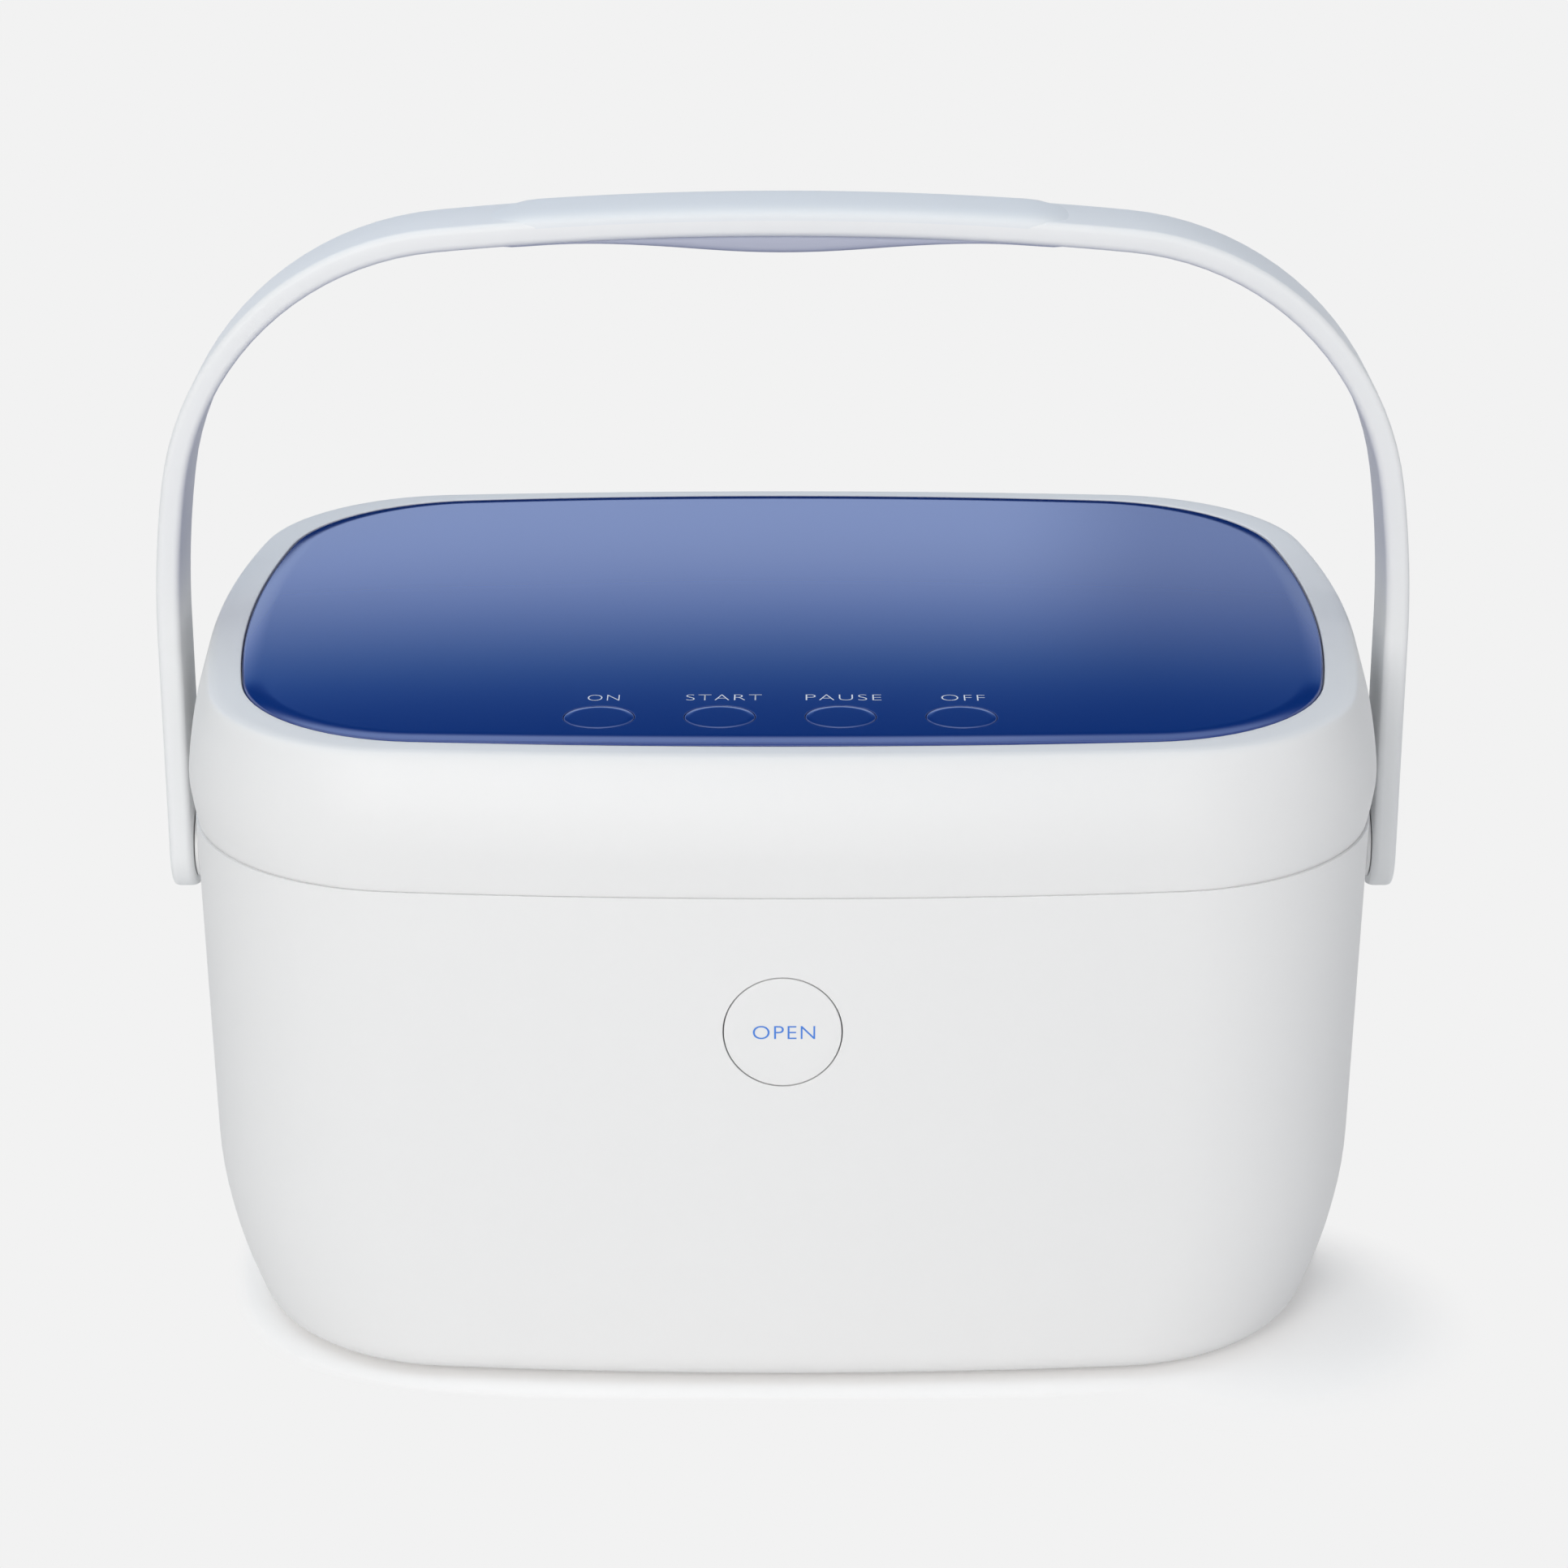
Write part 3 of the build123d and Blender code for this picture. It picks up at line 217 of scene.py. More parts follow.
def rounding(steps):
    """Ways in and down round a quarter turn, as shares of its radius, from a wall onto a face."""
    return [(1 - math.cos(turn), 1 - math.sin(turn)) for turn in evenly(0.0, QUARTER_TURN, steps)]


def corner_circle(half_w, half_d, corner, front_bow, side_bow):
    """Centre of the corner circle that runs into both bowed sides, and the angles where it does."""
    bow_y = front_bow - half_d
    bow_x = half_w - side_bow
    reach_front = front_bow - corner
    reach_side = side_bow - corner
    span = math.hypot(bow_x, bow_y)
    along = (reach_front ** 2 - reach_side ** 2 + span ** 2) / (2 * span)
    across = math.sqrt(reach_front ** 2 - along ** 2)
    ux, uy = bow_x / span, -bow_y / span
    cx = ux * along - uy * across
    cy = bow_y + uy * along + ux * across
    if cx < 0:
        cx = ux * along + uy * across
        cy = bow_y + uy * along - ux * across
    return cx, cy, math.atan2(cy - bow_y, cx), math.atan2(cy, cx - bow_x)


def bows_of(group, other=None, share=0.0):
    """Radii of the bowed front and side of a group of sizes, or a mix with another group's."""
    front, side = sizes(group).front_bow, sizes(group).side_bow
    if other:
        front += (sizes(other).front_bow - front) * share
        side += (sizes(other).side_bow - side) * share
    return front, side


def bowed_outline(half_w, half_d, corner, bows):
    """Points round the bowed rectangle, from the middle of the front towards +X."""
    front_bow, side_bow = bows
    cx, cy, front, side = corner_circle(half_w, half_d, corner, front_bow, side_bow)
    arcs = [
        (0, front_bow - half_d, front_bow, -QUARTER_TURN, front),
        (cx, cy, corner, front, side),
        (half_w - side_bow, 0, side_bow, side, 0),
    ]
    quarter = []
    for (ox, oy, radius, start, end), steps in zip(arcs, ARC_STEPS):
        for angle in evenly(start, end, steps)[:-1]:
            quarter.append((ox + radius * math.cos(angle), oy + radius * math.sin(angle)))
    quarter.append((half_w, 0.0))
    right = quarter + [(x, -y) for x, y in reversed(quarter[:-1])]
    left = [(-x, y) for x, y in reversed(right[1:-1])]
    return right + left


def level(half_w, half_d, corner, z, bows=None):
    """Ring of points at height z, with the body's bows unless others are given."""
    outline = bowed_outline(half_w, half_d, corner, bows or bows_of("shell_sizes"))
    return [Vector((x, y, z)) for x, y in outline]


def inset_level(inset, z, half_w, half_d, corner, bows=None):
    """Ring drawn in from the outline by inset."""
    return level(half_w - inset, half_d - inset, max(corner - inset, MIN_CORNER), z, bows)


def shrunk(ring, share, z_of):
    """Ring drawn towards the middle to a share of its size, at a height given by z_of(x, y)."""
    points = []
    for p in ring:
        x, y = p.x * share, p.y * share
        points.append(Vector((x, y, z_of(x, y))))
    return points


def circle_ring(radius, centre, z_of, squash=1.0, count=64):
    """Round ring about a centre in plan, squashed from front to back."""
    points = []
    for angle in evenly(0.0, FULL_TURN, count)[:-1]:
        x = centre[0] + radius * math.cos(angle)
        y = centre[1] + squash * radius * math.sin(angle)
        points.append(Vector((x, y, z_of(x, y))))
    return points


def spline(values, steps):
    """Smooth run of rows through rows of numbers, with some steps between each two."""
    rows = []
    for i in range(len(values) - 1):
        before, start = values[max(i - 1, 0)], values[i]
        end, after = values[i + 1], values[min(i + 2, len(values) - 1)]
        for k in range(steps):
            t = k / steps
            row = []
            for a, b, c, d in zip(before, start, end, after):
                row.append(0.5 * (2 * b + (c - a) * t + (2 * a - 5 * b + 4 * c - d) * t * t
                                  + (3 * b - a - 3 * c + d) * t ** 3))
            rows.append(row)
    rows.append(list(values[-1]))
    return rows


# Mesh helpers

MERGE_DISTANCE = 0.001 * MM  # points closer than this become one
CUTTER_DEPTH = 12 * MM  # how far the cutter of a hole reaches in
CUTTER_PROUD = 2 * MM  # how far it stands out
MOUTH_STEPS = 4  # steps round the softened mouth of a hole
EDGE_STEPS = 5  # steps round the softened edge of a button
LARGE_FACE_WEIGHT = 100  # lets the large faces alone set the shading


def deselect():
    """Nothing is selected afterwards."""
    bpy.ops.object.select_all(action="DESELECT")


def activate(obj):
    """One object alone is selected and active afterwards."""
    deselect()
    obj.select_set(True)
    bpy.context.view_layer.objects.active = obj


def wrapped(name, rings, closed=False):
    """Skin through rings of points: a grid wrapped round them and sewn along its seams."""
    rows = rings + [rings[0]] if closed else rings
    columns = len(rows[0])
    deselect()
    bpy.ops.mesh.primitive_grid_add(x_subdivisions=columns, y_subdivisions=len(rows) - 1, size=2)
    obj = bpy.context.object
    obj.name = name
    for vertex in obj.data.vertices:
        column = round((vertex.co.x + 1) / 2 * columns) % columns
        row = round((vertex.co.y + 1) / 2 * (len(rows) - 1))
        vertex.co = rows[row][column]
    bpy.ops.object.mode_set(mode="EDIT")
    bpy.ops.mesh.select_all(action="SELECT")
    bpy.ops.mesh.remove_doubles(threshold=MERGE_DISTANCE)
    bpy.ops.mesh.normals_make_consistent(inside=False)
    bpy.ops.object.mode_set(mode="OBJECT")
    smooth(obj)
    return obj


def capped(rings):
    """Rings of a bar with a middle point at each end; at the far end it comes one ring early."""
    near, far = [[sum(ring, Vector()) / len(ring)] * len(ring) for ring in (rings[0], rings[-1])]
    return [near] + rings[:-1] + [far, rings[-1]]


def smooth(obj, degrees=32):
    """Smooth shading up to an angle."""
    activate(obj)
    bpy.ops.object.shade_smooth_by_angle(angle=math.radians(degrees))


def cylinder(name, radius, depth, centre, axis="Z", count=64):
    """Round bar as a cutter or a starting form."""
    turn = {"X": (0, QUARTER_TURN, 0), "Y": (QUARTER_TURN, 0, 0), "Z": (0, 0, 0)}[axis]
    deselect()
    bpy.ops.mesh.primitive_cylinder_add(vertices=count, radius=radius, depth=depth, location=centre,
                                        rotation=turn)
    obj = bpy.context.object
    obj.name = name
    bpy.ops.object.transform_apply(location=True, rotation=True, scale=True)
    return obj


def apply_modifiers(obj):
    """Applies all of an object's modifiers."""
    activate(obj)
    for modifier in list(obj.modifiers):
        bpy.ops.object.modifier_apply(modifier=modifier.name)


def cut(obj, cutter, solver="EXACT"):
    """Cuts one object out of another and removes the cutter."""
    modifier = obj.modifiers.new("cut", "BOOLEAN")
    modifier.object = cutter
    modifier.operation = "DIFFERENCE"
    modifier.solver = solver
    apply_modifiers(obj)
    bpy.data.objects.remove(cutter)


def even_shading(obj):
    """Smooth shading in which the large faces keep their own normals beside small ones."""
    smooth(obj)
    weighted = obj.modifiers.new("normals", "WEIGHTED_NORMAL")
    weighted.weight = LARGE_FACE_WEIGHT
    weighted.keep_sharp = True
    apply_modifiers(obj)


def hole_rings(ring_at, reach, edge):
    """Rings of a cutter for a hole with a rounded mouth, from ring_at(radius, depth below)."""
    rings = [ring_at(0.0, CUTTER_DEPTH), ring_at(reach, CUTTER_DEPTH)]
    rings += [ring_at(reach + edge * way, edge * down) for way, down in rounding(MOUTH_STEPS)]
    return rings + [ring_at(reach + edge, -CUTTER_PROUD), ring_at(0.0, -CUTTER_PROUD)]


# Materials


def add_node(owner, kind, values=None, links=None, **settings):
    """Adds a shader node with its settings, socket values and links."""
    node = owner.node_tree.nodes.new(kind)
    for key, value in settings.items():
        setattr(node, key, value)
    for key, value in (values or {}).items():
        node.inputs[key].default_value = value
    for key, source in (links or {}).items():
        owner.node_tree.links.new(source, node.inputs[key])
    return node


def emptied(owner):
    """A material or world whose nodes are all taken out."""
    owner.use_nodes = True
    owner.node_tree.nodes.clear()
    return owner


def new_material(name, values):
    """Material with one Principled shader, and its shader and Object coordinates."""
    material = emptied(bpy.data.materials.new(name))
    shader = add_node(material, "ShaderNodeBsdfPrincipled", values)
    add_node(material, "ShaderNodeOutputMaterial", links={"Surface": shader.outputs["BSDF"]})
    place = add_node(material, "ShaderNodeTexCoord").outputs["Object"]
    return material, shader, place


def join(material, source, shader, socket):
    """Links a node's output to a socket of the shader."""
    material.node_tree.links.new(source, shader.inputs[socket])


def grain(material, shader, place, size, depth, rough=None, detail=3.0, strength=1.0):
    """Unevenness about size across: a bump and, where rough is given, a change of roughness."""
    noise = add_node(material, "ShaderNodeTexNoise", {"Scale": 1 / size, "Detail": detail},
                     {"Vector": place})
    bump = add_node(material, "ShaderNodeBump", {"Strength": strength, "Distance": depth},
                    {"Height": noise.outputs["Fac"]})
    join(material, bump.outputs["Normal"], shader, "Normal")
    if rough:
        spread = add_node(material, "ShaderNodeMapRange", {"To Min": rough[0], "To Max": rough[1]},
                          {"Value": noise.outputs["Fac"]})
        join(material, spread.outputs["Result"], shader, "Roughness")


def moulded_abs(name, tint, rough=(0.48, 0.56)):
    """ABS moulded in a finely spark-eroded tool: a satin white with a soft, broad highlight."""
    material, shader, place = new_material(name, {"Base Color": tint, "IOR": 1.53})
    grain(material, shader, place, size=0.5 * MM, depth=0.002 * MM, rough=rough)
    return material


def gloss_acrylic(name, tint):
    """Acrylic coloured right through and polished: deep blue under a clear, sharp reflection."""
    material, shader, place = new_material(name, {"Base Color": tint, "IOR": 1.49,
                                                  "Roughness": 0.1})
    # The long ripple of a moulded sheet, which bends the reflection a little
    grain(material, shader, place, size=40 * MM, depth=0.02 * MM, detail=1.0, strength=0.3)
    return material


def printed_ink(name, tint):
    """Pad-printed ink: flat colour with a slightly uneven film."""
    material, shader, place = new_material(name, {"Base Color": tint, "IOR": 1.5})
    grain(material, shader, place, size=0.3 * MM, depth=0.002 * MM, rough=(0.4, 0.55))
    return material


def soft_elastomer(name, tint):
    """Thermoplastic elastomer: a matt skin that scatters the light."""
    material, shader, place = new_material(name, {"Base Color": tint, "IOR": 1.5,
                                                  "Sheen Weight": 0.15})
    grain(material, shader, place, size=0.4 * MM, depth=0.006 * MM, rough=(0.5, 0.62))
    return material


def polished_aluminium(name, tint):
    """Bright rolled aluminium: fine lines along X under a soft mirror."""
    material, shader, place = new_material(name, {"Base Color": tint, "Metallic": 1.0})
    lines = add_node(material, "ShaderNodeMapping", {"Scale": (0.02, 1.0, 1.0)}, {"Vector": place})
    grain(material, shader, lines.outputs["Vector"], size=0.6 * MM, depth=0.003 * MM,
          rough=(0.16, 0.3), detail=2.0, strength=0.4)
    return material


def drawn_steel(name, tint):
    """Drawn stainless wire and turned pins: bright with faint draw marks."""
    material, shader, place = new_material(name, {"Base Color": tint, "Metallic": 1.0})
    grain(material, shader, place, size=0.25 * MM, depth=0.002 * MM, rough=(0.18, 0.32))
    return material


def clear_quartz(name):
    """Quartz plate: clear, with a clean reflection."""
    material, shader, place = new_material(name, {"Base Color": linear("#F4F8FA"), "IOR": 1.46,
                                                  "Transmission Weight": 0.92})
    grain(material, shader, place, size=3 * MM, depth=0.001 * MM, rough=(0.02, 0.06))
    return material


def circuit_board(name):
    """Glass-epoxy board under green solder mask, with the mask's fine orange peel."""
    material, shader, place = new_material(name, {"Base Color": linear("#1F6B3C"), "IOR": 1.5})
    grain(material, shader, place, size=0.8 * MM, depth=0.004 * MM, rough=(0.3, 0.45))
    return material


def finish_node(name, material):
    """Gives a CAD node its material."""
    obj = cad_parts[name]
    obj.data.materials.clear()
    obj.data.materials.append(material)


def finish_piece(obj, material, body, replaced=()):
    """Gives a new piece its material and body, and hides the CAD nodes it stands for."""
    obj.data.materials.clear()
    obj.data.materials.append(material)
    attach(obj, body)
    if replaced:
        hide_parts(*replaced)


# Base

LEAN_ROUNDS = 8  # rounds that settle where the bottom edge starts
WALL_STEPS, CURVE_STEPS, BOTTOM_STEPS = 6, 8, 12  # rings down the wall, its curve and its edge
FLOOR_SHARES = (0.8, 0.5, 0.2, 0.0)  # sizes of the rings across the floor
FLOOR_SHARE = 1.4  # thickness of the floor over that of the wall
RIM_ROUND = 0.06 * MM  # rounding of the base's rim
RIM_STEPS = 5
GAP_CLOSING = 0.18 * MM  # how far the rim and the lid's edge each reach into the parting gap
COVER_WIDTH, COVER_LENGTH, COVER_DEPTH = 150.6 * MM, 106.6 * MM, 1.8 * MM  # underside recess


def wall_reach(z, curve):
    """How far a wall has come in at height z and its slope there; curve is its extra reach."""
    s = sizes("shell_sizes")
    span = s.curve_height - s.foot
    below = max(s.curve_height - z, 0.0)
    slope = math.tan(s.taper)
    reach = (s.parting - z) * slope + curve * (below / span) ** 2
    return reach, slope + 2 * curve * below / span ** 2


def rounded_reach(z, low, edge, curve):
    """How far a wall has come in at height z where it runs into a rounded bottom edge."""
    start = low + edge
    for _ in range(LEAN_ROUNDS):
        tilt = math.atan(wall_reach(start, curve)[1])
        start = low + edge * (1 - math.sin(tilt))
    if z >= start:
        return wall_reach(z, curve)[0]
    centre = wall_reach(start, curve)[0] + edge * math.cos(tilt)
    return centre - edge * math.sqrt(max(1 - ((low + edge - z) / edge) ** 2, 0.0))


def base_side(z, low=None, edge=None):
    """Half width, half depth and corner radius of the base's outside at height z."""
    s = sizes("shell_sizes")
    low = s.foot if low is None else low
    edge = s.edge if edge is None else edge
    across = rounded_reach(z, low, edge, s.curve)
    along = rounded_reach(z, low, edge, 0.0)
    return s.half_width - across, s.half_depth - along, s.corner - along


def base_profile(inset, top, low):
    """Rings down the base's wall, round its bottom edge and over its floor, drawn in by inset."""
    s = sizes("shell_sizes")
    edge = s.edge - inset
    heights = evenly(top, s.curve_height, WALL_STEPS)
    heights += evenly(s.curve_height, low + edge, CURVE_STEPS)[1:]
    heights += [low + edge * down for _, down in rounding(BOTTOM_STEPS)[1:]]
    rings = [inset_level(inset, z, *base_side(z, low, edge)) for z in heights]
    return rings + [shrunk(rings[-1], share, lambda x, y: low) for share in FLOOR_SHARES]


def rim_rings():
    """Rings over the base's rim, from its inside to its outside, with both edges rounded."""
    s = sizes("shell_sizes")
    outline = base_side(s.parting)
    top = s.parting + GAP_CLOSING
    inner, outer = [], []
    for way, down in rounding(RIM_STEPS):
        inner.append(inset_level(s.wall - RIM_ROUND * way, top - RIM_ROUND * down, *outline))
        outer.append(inset_level(RIM_ROUND * down, top - RIM_ROUND * way, *outline))
    return inner + outer


def base_skin():
    """The base's outer shell with its wall, rounded rim and rounded bottom edge."""
    s = sizes("shell_sizes")
    top = s.parting - 2 * RIM_ROUND
    inner = base_profile(s.wall, top, s.foot + FLOOR_SHARE * s.wall)
    outer = base_profile(0.0, top, s.foot)
    return wrapped("base_skin", list(reversed(inner)) + rim_rings() + outer)


def front_y(x, z):
    """Place of the base's front face, front to back."""
    s = sizes("shell_sizes")
    half_d = base_side(z)[1]
    return -half_d + s.front_bow - math.sqrt(s.front_bow ** 2 - x ** 2)


def cover_recess():
    """Cutter for the shallow recess that the underside cover lies in."""
    deselect()
    bpy.ops.mesh.primitive_cube_add(size=1, location=(0, 0, sizes("shell_sizes").foot))
    box = bpy.context.object
    box.scale = (COVER_WIDTH, COVER_LENGTH, 2 * COVER_DEPTH)
    bpy.ops.object.transform_apply(location=True, rotation=True, scale=True)
    return box


# Lid and hinges

# Share of the shoulder's height, and of its way in at the sides and at the front
LID_SHOULDER = (
    (0.38, 0.19, 0.12),
    (0.69, 0.56, 0.36),
    (0.89, 0.83, 0.59),
    (1.01, 1.0, 0.77),
    (1.066, 1.2, 0.93),
    (1.088, 1.62, 1.13),
)
LID_STEPS = 5  # steps between two of the lid's levels
MIDDLE_SWELL = 0.2 * MM  # how much the wall swells between its edge and its widest place
MAX_CORNER_SHARE = 1.3  # the corner radius changes no further than this
BAND_STEPS = 4
SEAT_LIP = 0.35 * MM  # rounding of the panel seat's upper edge
LID_RIM_ROUND = 0.05 * MM  # rounding of the lid's lower edge
KNUCKLE_ROOT = 3 * MM  # how far a hinge arm reaches past the inside of the wall
KNUCKLE_GAP = 0.3 * MM  # gap between arms, and between an arm and the other shell
BASE_ARM, LID_ARM = 15 * MM, 11 * MM  # how far the arms reach down and up from the hinge
KNUCKLE_BORE = 1.56 * MM  # radius of the hinge's bore
KNUCKLE_EDGE = 0.3 * MM
BARREL_STEPS = 18
BEVEL_ANGLE = 50  # degrees, past which an arm's edge is softened


def lid_levels():
    """Half width, half depth, corner radius, height and share of the panel's bow, going up."""
    s = sizes("shell_sizes")
    p = sizes("panel_sizes")
    low = s.parting + s.gap - GAP_CLOSING
    wide = (s.half_width + s.bulge, s.half_depth + s.bulge, s.corner + s.bulge)
    band = (p.half_width + p.rim_side, p.half_depth + p.rim_front, p.rim_corner)
    band_z = p.height - p.rim_fall
    middle = (s.bulge - s.lid_edge) / 2 + MIDDLE_SWELL
    rows = [
        (s.half_width - s.lid_edge, s.half_depth - s.lid_edge, s.corner, low, 0.0),
        (s.half_width + middle, s.half_depth + middle, s.corner, (low + s.bulge_height) / 2, 0.0),
        (*wide, s.bulge_height, 0.0),
    ]
    for up, side, front in LID_SHOULDER:
        ways = (side, front, min(side, MAX_CORNER_SHARE))
        plan = [start + (end - start) * way for start, end, way in zip(wide, band, ways)]
        rows.append((*plan, s.bulge_height + (band_z - s.bulge_height) * up, min(up, 1.0)))
    return spline(rows, LID_STEPS)


def lid_ring(row, inset=0.0):
    """Ring at one of the lid's levels, drawn in by inset."""
    half_w, half_d, corner, z, share = row
    bows = bows_of("shell_sizes", "panel_sizes", share)
    return level(half_w - inset, half_d - inset, corner - inset, z, bows)


def lid_skin():
    """The lid's frame: outside, sloping rim band, panel seat and inner wall."""
    s = sizes("shell_sizes")
    p = sizes("panel_sizes")
    levels = lid_levels()
    rings = [lid_ring(row) for row in levels]
    bows = bows_of("panel_sizes")
    seat = [size + p.seat_gap for size in (p.half_width, p.half_depth, p.corner)]
    inner = [size - p.ledge for size in (p.half_width, p.half_depth, p.corner)]
    *band, band_z, _ = levels[-1]
    top = p.height - p.rim_drop
    for t in evenly(0.0, 1.0, BAND_STEPS)[1:]:
        plan = [start + (end + SEAT_LIP - start) * t for start, end in zip(band, seat)]
        rings.append(level(*plan, band_z + (top - band_z) * math.sin(t * QUARTER_TURN), bows))
    for way, down in rounding(BAND_STEPS)[1:]:
        rings.append(level(*[size + SEAT_LIP * down for size in seat], top - SEAT_LIP * way, bows))
    ledge_z = p.height - p.thick
    under = ledge_z - s.wall
    rings += [level(*seat, ledge_z, bows), level(*inner, ledge_z, bows), level(*inner, under, bows)]
    rings += [lid_ring(row, s.wall) for row in reversed(levels[1:]) if row[3] < under - s.wall]
    *edge, low, _ = levels[0]
    rings += [inset_level(s.wall, low + LID_RIM_ROUND, *edge),
              inset_level(s.wall - LID_RIM_ROUND, low, *edge),
              inset_level(LID_RIM_ROUND, low, *edge)]
    rings[0] = inset_level(0.0, low + LID_RIM_ROUND, *edge)
    return wrapped("lid_skin", rings, closed=True)


def hinge_line():
    """Place and height of the hinge line."""
    s = sizes("shell_sizes")
    return s.half_depth + s.hinge_out, s.parting + s.gap / 2


def knuckle_outline(part):
    """Side view of a hinge arm: a round barrel on a foot that runs into the wall."""
    s = sizes("shell_sizes")
    hinge_y, hinge_z = hinge_line()
    face = s.half_depth - s.wall
    root = face - KNUCKLE_ROOT
    back = hinge_y + s.barrel
    if part == "base":
        turn, end = 0.0, hinge_z - BASE_ARM
        foot = [(back, hinge_z - s.barrel), (face, end), (root, end),
                (root, hinge_z - KNUCKLE_GAP)]
    else:
        turn, end = FULL_TURN, hinge_z + LID_ARM
        foot = [(back, hinge_z + KNUCKLE_GAP), (s.half_depth, end), (root, end),
                (root, hinge_z + KNUCKLE_GAP)]
    barrel = [(hinge_y + s.barrel * math.cos(angle), hinge_z + s.barrel * math.sin(angle))
              for angle in evenly(math.pi, turn, BARREL_STEPS)]
    return barrel + foot


def knuckle_piece(name, part, start):
    """One hinge arm with a bore and softened edges, from start along +X."""
    s = sizes("shell_sizes")
    outline = knuckle_outline(part)
    middle = [sum(v) / len(outline) for v in zip(*outline)]
    end = start + s.knuckle
    rings = []
    for x, flat in ((start, True), (start, False), (end, False), (end, True)):
        rings.append([Vector((x, *(middle if flat else point))) for point in outline])
    arm = wrapped(name, rings)
    pin = cylinder("pin", KNUCKLE_BORE, 2 * s.knuckle, (start + s.knuckle / 2, *hinge_line()),
                   "X", 32)
    # The exact solver takes the whole arm away here
    cut(arm, pin, "MANIFOLD")
    bevel = arm.modifiers.new("edge", "BEVEL")
    bevel.width = KNUCKLE_EDGE
    bevel.segments = 2
    bevel.limit_method = "ANGLE"
    bevel.angle_limit = math.radians(BEVEL_ANGLE)
    apply_modifiers(arm)
    smooth(arm)
    return arm


# Panel and buttons

# Each word, its place from the middle and its width in millimetres; a button goes with each
BUTTON_WORDS = (("ON", -42.8, 7.6), ("START", -14.05, 18.1), ("PAUSE", 14.55, 18.1),
                ("OFF", 43.1, 10.4))
PANEL_LIFT = 0.02 * MM  # clearance of the panel above its ledge
UNDERSIDE_SHARES = (0.0, 0.5, 0.9)  # sizes of the rings across the panel's underside
PANEL_EDGE_STEPS, PILLOW_STEPS, PANEL_STEPS = 6, 8, 16  # rings round the edge, inside it, across
BUTTON_GAP = 0.12 * MM
BUTTON_MOUTH = 0.14 * MM  # rounding of the holes round the push buttons
BUTTON_EDGE = 0.3 * MM
BUTTON_SHARES = (0.85, 0.7, 0.5, 0.3, 0.15, 0.0)  # sizes of the rings across a button's face
RELEASE_EDGE = 0.25 * MM
RELEASE_DEPTH = 5 * MM
RELEASE_SHARES = (0.8, 0.6, 0.4, 0.2, 0.0)


def panel_height(x, y):
    """Height of the crowned panel at a place in plan."""
    p = sizes("panel_sizes")
    radius = p.half_width ** 2 / (2 * p.crown)
    return p.height + p.crown - (x * x + y * y) / (2 * radius)


def lowered(ring, height_of, drop):
    """Ring laid below a face whose height is height_of(x, y)."""
    return [Vector((v.x, v.y, height_of(v.x, v.y) - drop)) for v in ring]


def button_x(index):
    """Place of a push button from side to side."""
    p = sizes("panel_sizes")
    return (index - (len(BUTTON_WORDS) - 1) / 2) * p.pitch + p.shift


def button_ring(index, radius, z_of):
    """Ring about the centre of a push button."""
    p = sizes("panel_sizes")
    return circle_ring(radius, (button_x(index), p.button_y), z_of, p.button_ratio)


def panel_skin():
    """The crowned top panel with a rounded edge and the holes for the push buttons."""
    p = sizes("panel_sizes")
    low = p.height - p.thick + PANEL_LIFT
    outline = (p.half_width, p.half_depth, p.corner)
    bows = bows_of("panel_sizes")
    bottom = level(*outline, low, bows)
    rings = [shrunk(bottom, share, lambda x, y: low) for share in UNDERSIDE_SHARES] + [bottom]
    for way, down in rounding(PANEL_EDGE_STEPS):
        ring = inset_level(p.edge * way, 0.0, *outline, bows)
        rings.append(lowered(ring, panel_height, p.edge * down + p.pillow_drop))
    for t in evenly(0.0, 1.0, PILLOW_STEPS)[1:]:
        ring = inset_level(p.edge + (p.pillow - p.edge) * t, 0.0, *outline, bows)
        rings.append(lowered(ring, panel_height, p.pillow_drop * (1 - t) ** 2))
    last = rings[-1]
    rings += [shrunk(last, 1 - i / PANEL_STEPS, panel_height) for i in range(1, PANEL_STEPS + 1)]
    panel = wrapped("panel_skin", rings)
    for i in range(len(BUTTON_WORDS)):

        def mouth(radius, depth):
            return button_ring(i, radius, lambda x, y: panel_height(x, y) - depth)

        cut(panel, wrapped("hole", hole_rings(mouth, p.button + BUTTON_GAP, BUTTON_MOUTH)))
    even_shading(panel)
    return panel


def push_button(name, index):
    """Round button with a softened edge, its face flush with the panel."""
    p = sizes("panel_sizes")
    low = p.height - p.thick
    rings = [button_ring(index, radius, lambda x, y: low) for radius in (0.0, p.button)]
    for way, down in rounding(EDGE_STEPS):
        ring = button_ring(index, p.button - BUTTON_EDGE * way, panel_height)
        rings.append([Vector((v.x, v.y, v.z - BUTTON_EDGE * down)) for v in ring])
    face = p.button - BUTTON_EDGE
    rings += [button_ring(index, face * share, panel_height) for share in BUTTON_SHARES]
    return wrapped(name, rings)


def release_ring(radius, lift, count=72):
    """Ring about the release button's centre, lift behind the front face."""
    r = sizes("release_sizes")
    points = []
    for angle in evenly(0.0, FULL_TURN, count)[:-1]:
        x, z = radius * math.cos(angle), r.height + radius * math.sin(angle)
        points.append(Vector((x, front_y(x, z) + lift, z)))
    return points


def release_cap():
    """Release button whose face follows the front wall."""
    r = sizes("release_sizes")
    rings = [release_ring(0.0, RELEASE_DEPTH), release_ring(r.radius, RELEASE_DEPTH)]
    for way, down in rounding(EDGE_STEPS):
        rings.append(release_ring(r.radius - RELEASE_EDGE * way, RELEASE_EDGE * down))
    face = r.radius - RELEASE_EDGE
    return wrapped("release_cap", rings + [release_ring(face * f, 0.0) for f in RELEASE_SHARES])


# Handle

